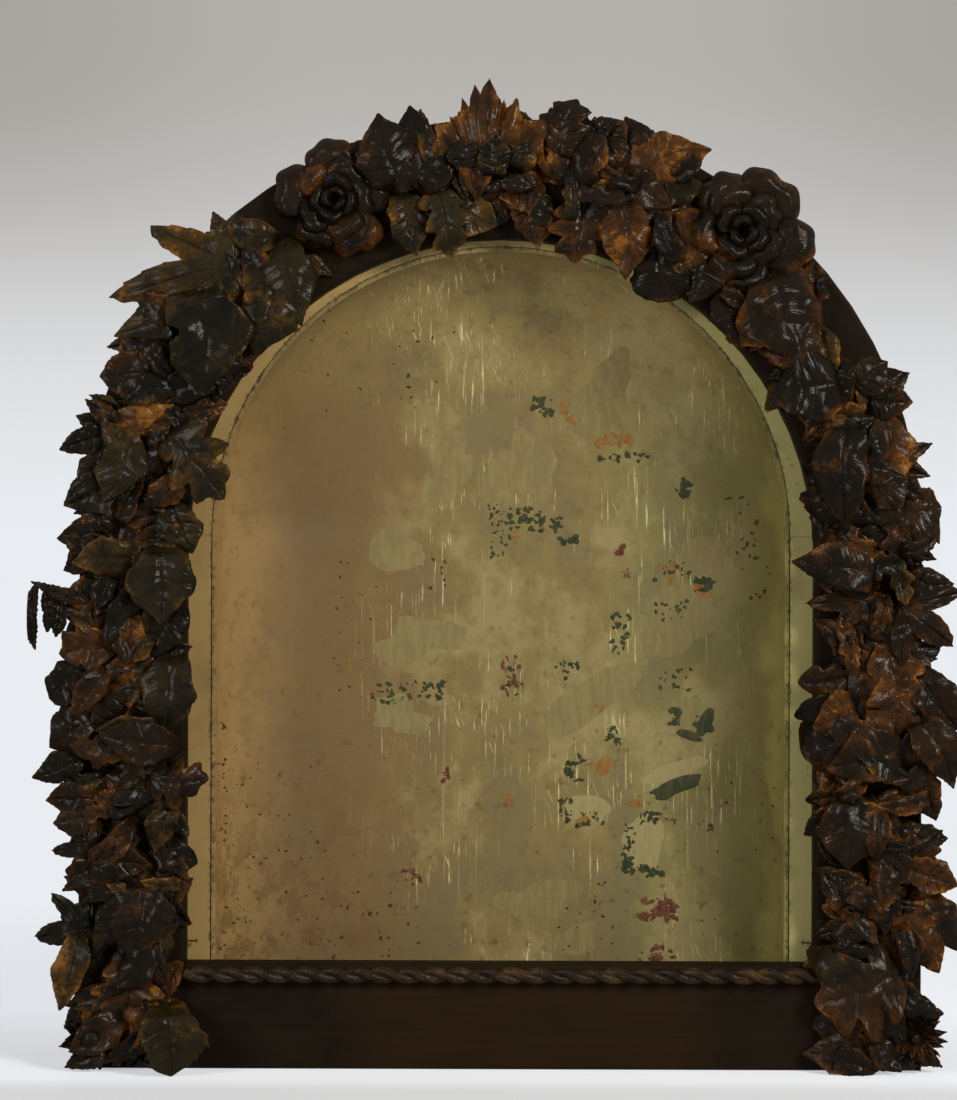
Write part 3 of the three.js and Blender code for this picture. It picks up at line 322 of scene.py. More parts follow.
def read_table(text):
    """The lots of a table: the words before each colon, and the rows of words after it."""
    lots = []
    for line in text.strip().splitlines():
        head, _, rows = line.rpartition(":")
        if head:
            lots.append((head.split(), []))
        lots[-1][1].extend(row.split() for row in rows.split(";"))
    return lots


def read_numbers(text):
    """A table of numbers by form: those of its head, and its rows."""
    return {form: (list(map(float, head)), [tuple(map(float, row)) for row in rows])
            for (form, *head), rows in read_table(text)}


OUTLINES = read_numbers(OUTLINE_TABLE)
LOBES = read_numbers(LOBE_TABLE)


class Hide:
    """Collects the points, faces and finish values of one leather piece."""

    LABELS = ("leaf_rim", "leaf_vein", "leaf_shade", "leaf_worn")

    def __init__(self):
        self.points = []
        self.faces = []
        self.values = []
        self.creases = []
        self.count = 0

    def add(self, points, faces, values, creases):
        """Adds points, the faces between them, and their finish values."""
        self.points.append(points)
        self.values.append(values)
        self.creases.append(creases)
        self.faces.extend([tuple(i + self.count for i in face) for face in faces])
        self.count += len(points)

    def sheet(self, surface, rim, vein, crease, shade, worn):
        """Gives a grid of points a thickness and a rounded cut edge."""
        rows, columns = surface.shape[:2]
        down = np.gradient(surface, axis=0)
        over = np.gradient(surface, axis=1)
        normal = np.cross(over, down)
        normal /= np.maximum(np.linalg.norm(normal, axis=2, keepdims=True), 1e-9)
        turned = normal[rows // 2, :, 1].mean() > 0
        if turned:
            normal = -normal
        top = surface + normal * LEAF_THICKNESS
        loop = [(0, c) for c in range(columns)]
        loop += [(r, columns - 1) for r in range(1, rows)]
        loop += [(rows - 1, c) for c in range(columns - 2, -1, -1)]
        loop += [(r, 0) for r in range(rows - 2, 0, -1)]
        edge = []
        for r, c in loop:
            inner = surface[min(max(r, 1), rows - 2), min(max(c, 1), columns - 2)]
            outward = surface[r, c] - inner
            size = max(np.linalg.norm(outward), 1e-6)
            edge.append((surface[r, c] + top[r, c]) / 2 + outward / size * LEAF_THICKNESS * 0.3)
        flat = rows * columns
        points = np.concatenate([surface.reshape(-1, 3), top.reshape(-1, 3), np.array(edge)])
        faces = []
        for quad in grid_faces(rows, columns):
            back = quad if turned else quad[::-1]
            faces.append(back)
            faces.append(tuple(i + flat for i in back[::-1]))
        ring = [r * columns + c for r, c in loop]
        for k in range(len(loop)):
            n = (k + 1) % len(loop)
            low = (ring[n], 2 * flat + n, 2 * flat + k, ring[k])
            high = (2 * flat + n, ring[n] + flat, ring[k] + flat, 2 * flat + k)
            faces.append(low[::-1] if turned else low)
            faces.append(high[::-1] if turned else high)
        values = np.zeros((len(points), len(self.LABELS)))
        creases = np.zeros((len(points), 3))
        for start in (0, flat):
            values[start:start + flat, 0] = rim.reshape(-1)
            values[start:start + flat, 1] = vein.reshape(-1)
            creases[start:start + flat] = crease.reshape(-1, 3)
        creases[2 * flat:] = [crease[r, c] for r, c in loop]
        values[:, 2] = shade
        values[:, 3] = worn
        self.add(points, faces, values, creases)

    def lay(self, x, z, height, rim, vein, creases, seed, shade, worn):
        """Lays a sheet at a height over the board, never into it, creased along two measures."""
        surface = np.stack([x, FACE_Y - np.maximum(height, 0.0), np.maximum(z, LOWEST)], axis=2)
        crease = np.stack([*np.broadcast_arrays(*creases, seed + 0 * x)], axis=2)
        self.sheet(surface, np.broadcast_to(rim, x.shape), vein, crease, shade, worn)

    def piece(self, name, stain, *nodes):
        """Makes the collected hide one stained object that rides on the box."""
        points = np.clip(np.concatenate(self.points), np.array(CAD_BOX[0]), np.array(CAD_BOX[1]))
        mesh = new_mesh(name, points.tolist(), self.faces, MATERIALS[stain])
        values = np.concatenate(self.values).astype(np.float32)
        for index, label in enumerate(self.LABELS):
            layer = mesh.attributes.new(label, "FLOAT", "POINT")
            layer.data.foreach_set("value", np.ascontiguousarray(values[:, index]))
        layer = mesh.attributes.new("leaf_crease", "FLOAT_VECTOR", "POINT")
        layer.data.foreach_set("vector", np.concatenate(self.creases).astype(np.float32).ravel())
        mesh.validate()
        settle(name, mesh, "leather_" + stain, *nodes)


def grid_faces(rows, columns, first=0):
    """The four-cornered faces of a grid of points, row by row."""
    corners = [first + r * columns + c for r in range(rows - 1) for c in range(columns - 1)]
    return [(a, a + 1, a + 1 + columns, a + columns) for a in corners]


def new_mesh(name, points, faces, material, smooth=True):
    """A mesh with one material."""
    mesh = bpy.data.meshes.new(name)
    mesh.from_pydata(points, [], faces)
    mesh.polygons.foreach_set("use_smooth", [smooth] * len(mesh.polygons))
    mesh.materials.append(material)
    return mesh


def settle(name, mesh, slot, *nodes):
    """Puts a mesh in the scene as a piece that rides on the box."""
    obj = bpy.data.objects.new(name, mesh)
    bpy.context.collection.objects.link(obj)
    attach(obj, "root")
    if nodes:
        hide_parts(*nodes)


def crumple(x, z, rng, reach=0.018):
    """Soft uneven swelling of hide that dried by hand, between -1 and 1."""
    total = np.zeros_like(x)
    for _ in range(4):
        way = rng.uniform(0, 2 * math.pi)
        wave = 2 * math.pi / (reach * rng.uniform(0.6, 1.6))
        total += np.sin((x * math.cos(way) + z * math.sin(way)) * wave + rng.uniform(0, 6.3))
    return total / 4


def heading(turn):
    """The direction on the board at an angle."""
    return np.array([math.cos(turn), math.sin(turn)])


def spread_out(base, tip, share, across):
    """Points at shares of the way from base to tip, and at distances across it."""
    length = np.linalg.norm(tip - base)
    along = (tip - base) / length
    reach = share * length
    x = base[0] + along[0] * reach - along[1] * across
    z = base[1] + along[1] * reach + along[0] * across
    return x, z


def lifted(layer, length, arch=ARCH_SHARE):
    """A function for how far a leaf stands off the board at a share of its length."""
    def lift(share):
        rise = layer * LAYER_STEP * np.clip(share / RISE_SHARE, 0, 1)
        return rise + arch * length * np.sin(np.pi * np.clip(share, 0, 1))
    return lift


def outline_rows(form, rows):
    """Midrib place, edge place and half width, as shares, on evenly spaced rows."""
    (teeth, passes), table = OUTLINES[form]
    midrib, edges, widths = zip(*table)
    steps = np.linspace(0, 1, rows)
    edge = np.interp(steps, midrib, edges)
    wide = np.interp(steps, midrib, widths)
    for _ in range(int(passes)):
        for column in (edge, wide):
            column[1:-1] = (column[:-2] + 2 * column[1:-1] + column[2:]) / 4
    return steps, edge, wide, teeth


def blade(hide, form, base, tip, half, lift, rng, cup=0.2, fold=0.0, shade=0.5, worn=0.3,
          detail=0.5, veins=6, wave=0.1, curl=0.0, sway=0.0, relief=1.0, tilt=0.0):
    """One piece of hide from base to tip, with a midrib, slanting side veins and a loose rim."""
    rows = max(9, int(54 * detail))
    columns = max(7, 2 * int(9 * detail) + 1)
    steps, edge, wide, teeth = outline_rows(form, rows)
    length = np.linalg.norm(tip - base)
    t = steps[:, None]
    v = np.linspace(-1, 1, columns)[None, :]
    a = np.abs(v)
    w = wide[:, None] * np.ones_like(v)
    depth = TOOTH_SHARES.get(form, TOOTH_SHARE)
    saw = (t * teeth + np.where(v > 0, 0.4, 0.0)) % 1
    body = np.sin(np.pi * np.clip(t * 1.06, 0, 1))
    w = w * (1 + depth * (saw - 0.5) * body * a)
    uneven = 1 + 0.1 * np.sin(t * rng.uniform(3, 7) + rng.uniform(0, 6) + np.sign(v))
    for rate, size in ((9, 0.08), (19, 0.05), (33, 0.03)):
        turn = t * rate * rng.uniform(0.8, 1.2) + rng.uniform(0, 6.3) + np.sign(v) * 1.9
        uneven = uneven + size * np.sin(turn)
    share = t * (1 - a) + (edge[:, None] + depth * 0.3 * saw * body) * a
    across = half * w * v * uneven + sway * length * np.sin(np.pi * np.clip(share, 0, 1))
    x, z = spread_out(base, tip, share, across)
    rate = rng.uniform(9, 15)
    phase = rng.uniform(0, 6.3)
    height = lift(share) + fold * half * w * a - cup * half * w * a ** 2
    height += wave * half * w * a ** 2 * np.sin(t * rate + phase + np.sign(v) * 1.7)
    height += curl * length * np.clip(share - 0.55, 0, 1) ** 2 * 2.5
    height += (crumple(x, z, rng, 0.026) * 0.0019 + crumple(x, z, rng, 0.009) * 0.0004) * relief
    ribs = (t * veins - 0.75 * a) % 1
    rib_near = np.exp(-(np.minimum(ribs, 1 - ribs) / 0.1) ** 2)
    side_vein = rib_near * np.clip(a * 6 - 0.3, 0, 1) * np.clip((1.02 - a) * 4, 0, 1)
    mid_vein = np.exp(-(a * half * np.maximum(w, 0.25) / 0.0009) ** 2)
    swell = np.sin(np.pi * ribs) * 4 * a * (1 - a)
    strength = relief * np.maximum(body, 0) ** 0.5
    slant = (t - 0.75 * a / veins) * length
    pleat = np.sin(slant * 2 * math.pi / 0.0036 + crumple(x, z, rng) * 2.5) * (0.3 + a)
    height += strength * (0.0004 * swell - 0.0005 * side_vein - 0.0009 * mid_vein)
    height += strength * 0.00016 * pleat + tilt * half * w * v
    inset = np.minimum((1 - a) * 1.6, np.minimum(t * 5, (1 - t) * 5))
    rim = np.clip(inset * 1.6, 0, 1)
    vein = np.clip(np.maximum(side_vein * 0.8, mid_vein), 0, 1) * relief
    hide.lay(x, z, height, rim, vein, (slant, across * 0.12), rng.uniform(0, 1), shade, worn)


def palm_blade(hide, form, base, tip, half, lift, rng, shade, worn, detail):
    """A leaf whose lobes spread from its stalk, each with its own vein and turned tip."""
    (floor, teeth, ribbed), lobes = LOBES[form]
    columns = max(41, int(150 * detail))
    rows = max(7, int(18 * detail))
    widest = max(abs(lobe[0]) for lobe in lobes)
    turn = np.linspace(-widest - 24, widest + 24, columns)[None, :]
    reach = np.full_like(turn, floor * 0.7)
    ridge = np.zeros_like(turn)
    tilt = np.zeros_like(turn)
    for angle, far, spread in lobes:
        near = np.clip(1 - np.abs(turn - angle) / spread, 0, 1)
        reach = np.maximum(reach, far * (floor + (1 - floor) * near ** 0.85))
        ridge = np.maximum(ridge, np.exp(-((turn - angle) / 3.0) ** 2))
        tilt += near * rng.uniform(-1, 1)
    saw = (turn / 7.0) % 1
    reach = reach * (1 + 0.035 * teeth * (saw - 0.5))
    radians = np.radians(turn)
    ahead = reach * np.cos(radians)
    aside = reach * np.sin(radians)
    rear = ahead.min()
    stalk = -rear / (1 - rear)
    s = np.linspace(0, 1, rows)[:, None]
    share = stalk + s * (ahead / (1 - rear))
    across = s * aside / np.abs(aside).max() * half
    length = np.linalg.norm(tip - base)
    x, z = spread_out(base, tip, share, across)
    span = s * reach
    veins = ridge * np.clip((1.02 - s) * 4, 0, 1)
    height = lift(np.clip(share, 0.05, 1)) - PALM_CUP * half * span ** 2
    height = height + PALM_WAVE * half * tilt * s ** 2
    swell = 0.0014 * np.sin(np.pi * np.clip(1 - ridge, 0, 1)) * s - 0.0012 * veins
    height = height + swell * ribbed + crumple(x, z, rng) * 0.0018
    height = height + 0.0002 * ribbed * np.sin(radians * length * 2 * math.pi / 0.0044) * s
    rim = np.clip((1 - s) * 4, 0, 1)
    fine = (turn / 9.0) % 1
    branch = np.exp(-(np.minimum(fine, 1 - fine) / 0.12) ** 2) * 0.35 * s
    vein = np.clip(np.maximum(veins, branch), 0, 1)
    creases = (radians * length * 0.6, span * length * 0.1)
    hide.lay(x, z, height, rim, vein, creases, rng.uniform(0, 1), shade, worn)


def leaf(hide, form, numbers, rng, detail):
    """A leaf of the garland, from the numbers of its row."""
    base_x, base_y, tip_x, tip_y, width_share, layer, shade, worn, *bend = numbers
    base = place((base_x, base_y))
    tip = place((tip_x, tip_y))
    length = np.linalg.norm(tip - base)
    lift = lifted(layer, length)
    half = length * width_share * FULLNESS_SHARE / 2
    if form in LOBES:
        palm_blade(hide, form, base, tip, half, lift, rng, shade, worn, detail)
        return
    veins = {"lance": 5, "petal": 4, "plain": 6}.get(form, 7)
    blade(hide, form, base, tip, half, lift, rng, cup=rng.uniform(0.02, 0.28),
          fold=rng.uniform(-0.08, 0.3), shade=shade, worn=worn, detail=detail, veins=veins,
          wave=rng.uniform(0.08, 0.2), curl=rng.uniform(-0.06, 0.16),
          sway=bend[0] if bend else rng.uniform(-0.1, 0.1), tilt=rng.uniform(-0.2, 0.2))


class Graph:
    """Short calls for placing and joining nodes in one tree."""

    def __init__(self, tree):
        self.tree = tree

    def feed(self, socket, value):
        if isinstance(value, bpy.types.NodeSocket):
            self.tree.links.new(value, socket)
        else:
            socket.default_value = value

    def add(self, kind, inputs=None, **settings):
        node = self.tree.nodes.new(kind)
        for key, value in settings.items():
            setattr(node, key, value)
        return self.fill(node, inputs or {})

    def fill(self, node, inputs):
        for key, value in inputs.items():
            self.feed(node.inputs[key], value)
        return node

    def out(self, kind, inputs=None, output=0, **settings):
        """One output of a new node."""
        return self.add(kind, inputs, **settings).outputs[output]

    def coords(self):
        return self.out("ShaderNodeTexCoord", output="Object")

    def split(self, vector):
        return self.add("ShaderNodeSeparateXYZ", {"Vector": vector}).outputs

    def vector(self, x=0.0, y=0.0, z=0.0):
        return self.out("ShaderNodeCombineXYZ", {"X": x, "Y": y, "Z": z})

    def stretch(self, vector, scale):
        return self.out("ShaderNodeMapping", {"Vector": vector, "Scale": scale})

    def noise(self, vector, scale, detail, rough=0.55):
        inputs = {"Vector": vector, "Scale": scale, "Detail": detail, "Roughness": rough}
        return self.out("ShaderNodeTexNoise", inputs, "Fac")

    def patches(self, vector, scale, detail, rough, low, high):
        """Patches with soft edges, where noise climbs from low to high."""
        return self.band(self.noise(vector, scale, detail, rough), low, high)

    def cells(self, vector, scale):
        return self.out("ShaderNodeTexVoronoi", {"Vector": vector, "Scale": scale}, "Distance")

    def attribute(self, name, output="Fac"):
        return self.out("ShaderNodeAttribute", None, output, attribute_name=name)

    def math(self, operation, a, b=0.0, clamp=False):
        return self.out("ShaderNodeMath", {0: a, 1: b}, operation=operation, use_clamp=clamp)

    def times(self, a, b):
        return self.math("MULTIPLY", a, b)

    def plus(self, a, b):
        return self.math("ADD", a, b)

    def minus(self, a, b):
        return self.math("SUBTRACT", a, b)

    def band(self, value, low, high, start=0.0, end=1.0):
        """A smooth change from start to end while a value goes from low to high."""
        inputs = {"Value": value, "From Min": low, "From Max": high, "To Min": start, "To Max": end}
        return self.out("ShaderNodeMapRange", inputs, interpolation_type="SMOOTHSTEP")

    def mix(self, factor, a, b):
        return self.out("ShaderNodeMix", {0: factor, 6: a, 7: b}, 2, data_type="RGBA")

    def paint(self, colour, tone, mask, share=None):
        """Lays a tone over a colour where the mask is, if wanted at a share of its strength."""
        if share is not None:
            mask = self.times(mask, share)
        return self.mix(mask, colour, srgb(*tone))

    def blend(self, factor, a, b):
        """A mix of two shaders."""
        return self.out("ShaderNodeMixShader", {0: factor, 1: a, 2: b})

    def bump(self, height, strength, distance):
        inputs = {"Height": height, "Strength": strength, "Distance": distance}
        return self.out("ShaderNodeBump", inputs)


def srgb(red, green, blue):
    """A colour written in 0 to 255 values, as a linear colour with full alpha."""
    shares = [value / 255 for value in (red, green, blue)]
    linear = [s / 12.92 if s <= 0.04045 else ((s + 0.055) / 1.055) ** 2.4 for s in shares]
    return (*linear, 1.0)


def new_group(name, inputs, outputs):
    """A shader node group with named sockets, and its two ends."""
    tree = bpy.data.node_groups.new(name, "ShaderNodeTree")
    for label in inputs:
        kind = "NodeSocketVector" if label in ("Vector", "Crease") else "NodeSocketFloat"
        tree.interface.new_socket(label, in_out="INPUT", socket_type=kind)
    for label in outputs:
        tree.interface.new_socket(label, in_out="OUTPUT", socket_type="NodeSocketFloat")
    enter = tree.nodes.new("NodeGroupInput")
    leave = tree.nodes.new("NodeGroupOutput")
    return Graph(tree), enter.outputs, leave.inputs


def rubbed_group():
    """Where stain is rubbed off: first in patches, and sooner along cut edges."""
    graph, enter, leave = new_group("rubbed_stain", ["Vector", "Rim", "Amount"], ["Patch", "Bright"])
    broad = graph.noise(enter["Vector"], 42.0, 6.0, 0.66)
    fine = graph.noise(enter["Vector"], 330.0, 4.0, 0.65)
    edge = graph.math("SUBTRACT", 1.0, enter["Rim"], True)
    level = graph.plus(broad, graph.times(edge, 0.1))
    level = graph.plus(level, graph.times(enter["Amount"], 0.24))
    level = graph.plus(level, graph.times(graph.minus(fine, 0.5), 0.32))
    graph.feed(leave["Patch"], graph.band(level, 0.56, 0.82))
    graph.feed(leave["Bright"], graph.band(level, 0.76, 0.85))
    return graph.tree


def grain_group():
    """Hide grain: creases that follow the veins, fine pebbles, and a soft mottle."""
    graph, enter, leave = new_group("hide_grain", ["Vector", "Crease"],
                                    ["Height", "Lines", "Mottle"])
    lines = graph.noise(enter["Crease"], 460.0, 3.0, 0.6)
    pebbles = graph.cells(enter["Vector"], 1100.0)
    folds = graph.noise(enter["Vector"], 170.0, 6.0, 0.7)
    height = graph.plus(graph.times(lines, 1.2), graph.times(pebbles, 0.15))
    graph.feed(leave["Height"], graph.plus(height, folds))
    graph.feed(leave["Lines"], graph.plus(lines, graph.times(folds, 0.35)))
    graph.feed(leave["Mottle"], graph.noise(enter["Vector"], 60.0, 6.0, 0.65))
    return graph.tree


def dust_group():
    """Dust that has settled where a surface faces up."""
    graph, enter, leave = new_group("settled_dust", ["Vector", "Amount"], ["Mask"])
    normal = graph.out("ShaderNodeNewGeometry", output="Normal")
    up = graph.band(graph.split(normal)["Z"], 0.15, 0.95)
    patch = graph.patches(enter["Vector"], 150.0, 5.0, 0.7, 0.42, 0.66)
    graph.feed(leave["Mask"], graph.times(graph.times(up, patch), enter["Amount"]))
    return graph.tree


GROUPS = {}
MATERIALS = {}

# Stains of the leather: the colours of its dark and light places, and of rubbed patches, as
# red, green and blue from 0 to 255. Where no patch is given, it is the panel's raw hide.
STAINS = {
    "dark": ((9, 6, 2), (34, 22, 8), None),
    "green": ((9, 8, 3), (36, 30, 13), (78, 54, 20)),
    "tan": ((12, 7, 2), (47, 28, 9), None),
    "rope": ((22, 15, 10), (54, 39, 22), (84, 62, 34)),
}
RUBBED_THROUGH = srgb(134, 88, 32)

# The residues: the colours of their thin and thick places
RESIDUE_TONES = {
    "green": ((56, 55, 28), (36, 46, 22)),
    "orange": ((124, 98, 48), (128, 84, 36)),
    "red": ((100, 66, 42), (82, 36, 28)),
    "pale": ((136, 124, 82), (144, 132, 91)),
    "wash": ((113, 101, 63), (126, 114, 73)),
    "brown": ((66, 44, 24), (52, 34, 18)),
}

# The nodes that are carried over, by their finish
CARRIED_OVER = {
    "board": "stile_left stile_right arch_segment_left arch_segment_right base_rail",
    "case": "side_panel_left side_panel_right arch_hoop floor_board back_panel",
    "strip": "jamb_strip_left jamb_strip_right arch_strip",
    "iron": "brad_left brad_right",
}


def use_group(graph, name, inputs):
    """The outputs of a shared group that is fed these inputs."""
    return graph.add("ShaderNodeGroup", inputs, node_tree=GROUPS[name]).outputs


def new_material(name):
    """A material with its graph and its main shader, already joined to the output."""
    material = bpy.data.materials.new(name)
    material.use_nodes = True
    material.node_tree.nodes.clear()
    graph = Graph(material.node_tree)
    shader = graph.add("ShaderNodeBsdfPrincipled")
    output = graph.add("ShaderNodeOutputMaterial")
    graph.feed(output.inputs["Surface"], shader.outputs["BSDF"])
    return material, graph, shader


def leather(name, deep, light, patch, shaped):
    """Stained and varnished hide, darker in its veins and raw where it is rubbed."""
    material, graph, shader = new_material(name)
    vector = graph.coords()
    shade, worn, rim, vein = 0.4, 0.3, 1.0, 0.0
    crease = vector
    if shaped:
        shade, worn, rim, vein = (graph.attribute(label) for label in (
            "leaf_shade", "leaf_worn", "leaf_rim", "leaf_vein"))
        crease = graph.attribute("leaf_crease", "Vector")
    grain = use_group(graph, "hide_grain", {"Vector": vector, "Crease": crease})
    tone = graph.plus(shade, graph.times(graph.minus(grain["Mottle"], 0.5), 1.6))
    colour = graph.mix(graph.band(tone, 0.1, 0.9), deep, light)
    rubbed = use_group(graph, "rubbed_stain", {"Vector": vector, "Rim": rim, "Amount": worn})
    colour = graph.mix(graph.times(rubbed["Patch"], 0.8), colour, patch)
    colour = graph.mix(graph.times(rubbed["Bright"], 0.6), colour, RUBBED_THROUGH)
    colour = graph.paint(colour, (12, 9, 6), graph.math("MULTIPLY", vein, 0.55, True))
    dust = use_group(graph, "settled_dust", {"Vector": vector, "Amount": 0.1})["Mask"]
    colour = graph.paint(colour, (84, 72, 50), dust)
    rough = graph.band(grain["Mottle"], 0.35, 0.65, 0.4, 0.62)
    graph.fill(shader, {
        "Base Color": colour,
        "Roughness": graph.plus(rough, graph.times(rubbed["Patch"], 0.15)),
        "Normal": graph.bump(grain["Height"], 0.9, 0.0012),
        "Coat Normal": graph.bump(grain["Lines"], 0.5, 0.001),
        "Specular IOR Level": 0.03,
        "Specular Tint": srgb(255, 226, 196),
        "Coat Weight": 0.12,
        "Coat Roughness": 0.1,
    })
    return material


def dark_wood():
    """Dark stained board: streaks along the grain, scuffs, and a browner rubbed middle."""
    material, graph, shader = new_material("dark_board")
    vector = graph.coords()
    streak = graph.noise(graph.stretch(vector, (5.0, 30.0, 90.0)), 3.0, 6.0, 0.65)
    blotch = graph.noise(vector, 14.0, 4.0, 0.6)
    colour = graph.mix(graph.band(blotch, 0.35, 0.7), srgb(19, 15, 11), srgb(28, 22, 15))
    colour = graph.paint(colour, (37, 27, 17), graph.band(streak, 0.45, 0.7), 0.4)
    places = graph.split(vector)
    near = graph.math("ABSOLUTE", graph.minus(places["X"], 0.02))
    low = graph.math("LESS_THAN", places["Z"], RAIL_TOP)
    worn = graph.times(graph.band(near, 0.15, 0.1), low)
    worn = graph.times(worn, graph.band(streak, 0.3, 0.6, 0.45, 0.85))
    colour = graph.paint(colour, (37, 25, 14), worn)
    dabs = graph.noise(graph.stretch(vector, (60.0, 60.0, 160.0)), 2.2, 6.0, 0.7)
    height = graph.plus(graph.times(streak, 0.6), graph.noise(vector, 240.0, 3.0))
    graph.fill(shader, {
        "Base Color": graph.paint(colour, (88, 74, 46), graph.band(dabs, 0.72, 0.77), 0.5),
        "Roughness": graph.band(blotch, 0.3, 0.7, 0.45, 0.65),
        "Normal": graph.bump(height, 0.35, 0.0007),
        "Specular IOR Level": 0.04,
        "Specular Tint": srgb(255, 214, 176),
    })
    return material


def case_wood():
    """Thin bare softwood, darkened with age, for the sides, hoop, floor and back."""
    material, graph, shader = new_material("case_board")
    vector = graph.coords()
    grain = graph.noise(graph.stretch(vector, (26.0, 26.0, 3.0)), 3.0, 7.0, 0.6)
    rings = graph.noise(graph.stretch(vector, (90.0, 90.0, 5.0)), 2.0, 4.0, 0.6)
    blotch = graph.noise(vector, 6.0, 5.0, 0.6)
    colour = graph.mix(graph.band(grain, 0.35, 0.65), srgb(70, 51, 33), srgb(102, 77, 51))
    colour = graph.paint(colour, (56, 39, 25), graph.band(rings, 0.5, 0.7), 0.5)
    graph.fill(shader, {
        "Base Color": graph.paint(colour, (50, 36, 24), graph.band(blotch, 0.45, 0.75)),
        "Roughness": graph.band(grain, 0.3, 0.7, 0.62, 0.82),
        "Normal": graph.bump(graph.plus(grain, rings), 0.4, 0.0006),
        "Specular IOR Level": 0.15,
    })
    return material


def niche_paint_and_shade(graph, vector, places, across):
    """The niche's paint: brown on the left, green on the right, partly its stain and partly painted
    light and shade, lighter at the crown as painted light, its middle worn and scratched.
    """
    # A bright left wall, then bands across the niche. These are partly the paint's own stain and partly
    # painted light and shade: the dark green right wall is painted shade, and the lighter strip at its
    # right edge is painted light.
    colour = srgb(150, 121, 75)
    for low, high, tone in (
            (-0.2, -0.14, (107, 85, 50)), (-0.11, 0.01, (118, 103, 62)),
            (0.06, 0.1, (120, 111, 67)), (0.1, 0.17, (99, 92, 48)),
            (0.185, 0.2, (128, 119, 66))):
        colour = graph.paint(colour, tone, graph.band(across, low, high))
    low = graph.band(places["Z"], 0.26, 0.08)
    left = graph.band(places["X"], -0.05, -0.13)
    blots = graph.noise(vector, 48.0, 7.0, 0.72)
    rust = graph.times(graph.times(low, left), graph.band(blots, 0.47, 0.58))
    colour = graph.paint(colour, (94, 66, 36), rust, 0.6)
    # Painted light: lighter towards the crown, against the shadow under the arch
    colour = graph.paint(colour, (150, 132, 84), graph.band(places["Z"], 0.42, 0.56), 0.6)
    centre = graph.math("ABSOLUTE", graph.minus(places["X"], 0.04))
    middle = graph.band(centre, 0.16, 0.08)
    layers = graph.noise(graph.stretch(vector, (1.0, 1.0, 0.75)), 15.0, 9.0, 0.6)
    for low, high, tone in ((0.47, 0.57, (147, 134, 90)), (0.47, 0.4, (100, 92, 64))):
        worn = graph.times(graph.band(layers, low, high), middle)
        colour = graph.paint(colour, tone, worn, 0.5)
    mottle = graph.patches(vector, 75.0, 6.0, 0.7, 0.48, 0.66)
    colour = graph.paint(colour, (100, 84, 52), mottle, 0.4)
    hatch = graph.noise(graph.stretch(vector, (560.0, 60.0, 22.0)), 1.0, 4.0, 0.7)
    slant = graph.times(graph.plus(places["X"], graph.times(places["Z"], 0.4)), 520.0)
    lean = graph.vector(slant, graph.times(places["Z"], 24.0))
    hatch = graph.math("MAXIMUM", hatch, graph.minus(graph.noise(lean, 1.0, 4.0, 0.7), 0.04))
    rubs = graph.patches(vector, 14.0, 4.0, 0.6, 0.46, 0.58)
    scratched = graph.times(graph.times(graph.band(hatch, 0.58, 0.64), rubs), middle)
    colour = graph.paint(colour, (204, 192, 140), scratched, 0.9)
    drips = graph.noise(graph.stretch(vector, (190.0, 60.0, 6.0)), 1.6, 6.0, 0.72)
    drips = graph.times(graph.band(drips, 0.62, 0.68), middle)
    colour = graph.paint(colour, (168, 156, 110), drips, 0.45)
    spots = graph.patches(vector, 110.0, 4.0, 0.65, 0.6, 0.68)
    foot = graph.band(places["Z"], 0.45, 0.1, 0.25, 0.7)
    return graph.paint(colour, (88, 66, 36), graph.times(spots, foot))


def strip_paint_and_light(graph, places, cloud, wash):
    """The strips' paint: warm on the left, lighter and greener towards the right as painted light, and
    stained.
    """
    colour = graph.mix(graph.band(cloud, 0.35, 0.68), srgb(166, 138, 84), srgb(150, 124, 76))
    # Painted light: lighter and greener towards the right
    colour = graph.paint(colour, (160, 152, 98), graph.band(places["X"], -0.16, 0.14))
    return graph.paint(colour, (112, 90, 52), graph.band(wash, 0.5, 0.72), 0.4)


def cream_paint(name, niche):
    """Old cream paint: yellowed, stained, speckled with dirt and dark along the arched joint."""
    material, graph, shader = new_material(name)
    vector = graph.coords()
    places = graph.split(vector)
    cloud = graph.noise(vector, 9.0, 5.0, 0.6)
    wash = graph.noise(vector, 26.0, 6.0, 0.65)
    if niche:
        across = graph.plus(places["X"], graph.times(graph.minus(cloud, 0.5), 0.08))
        colour = niche_paint_and_shade(graph, vector, places, across)
    else:
        colour = strip_paint_and_light(graph, places, cloud, wash)
    specks = graph.patches(vector, 330.0, 3.0, 0.6, 0.66, 0.73)
    cluster = graph.patches(vector, 16.0, 3.0, 0.6, 0.42, 0.6)
    colour = graph.paint(colour, (62, 42, 23), graph.times(specks, cluster), 0.85)
    rise = graph.math("MAXIMUM", graph.minus(places["Z"], NICHE_SPRING), 0.0)
    square = graph.plus(graph.times(places["X"], places["X"]), graph.times(rise, rise))
    off = graph.minus(graph.math("SQRT", square), NICHE_RADIUS)
    joint = graph.band(graph.math("ABSOLUTE", off), 0.003, 0.0006)
    dirt = graph.times(joint, graph.patches(vector, 260.0, 4.0, 0.7, 0.5, 0.6))
    height = graph.plus(graph.noise(vector, 120.0, 5.0), graph.times(wash, 1.5))
    graph.fill(shader, {
        "Base Color": graph.paint(colour, (48, 35, 20), dirt, 0.75),
        "Roughness": graph.band(wash, 0.3, 0.7, 0.5, 0.72),
        "Normal": graph.bump(height, 0.25, 0.0006),
        "Specular IOR Level": 0.2,
    })
    return material


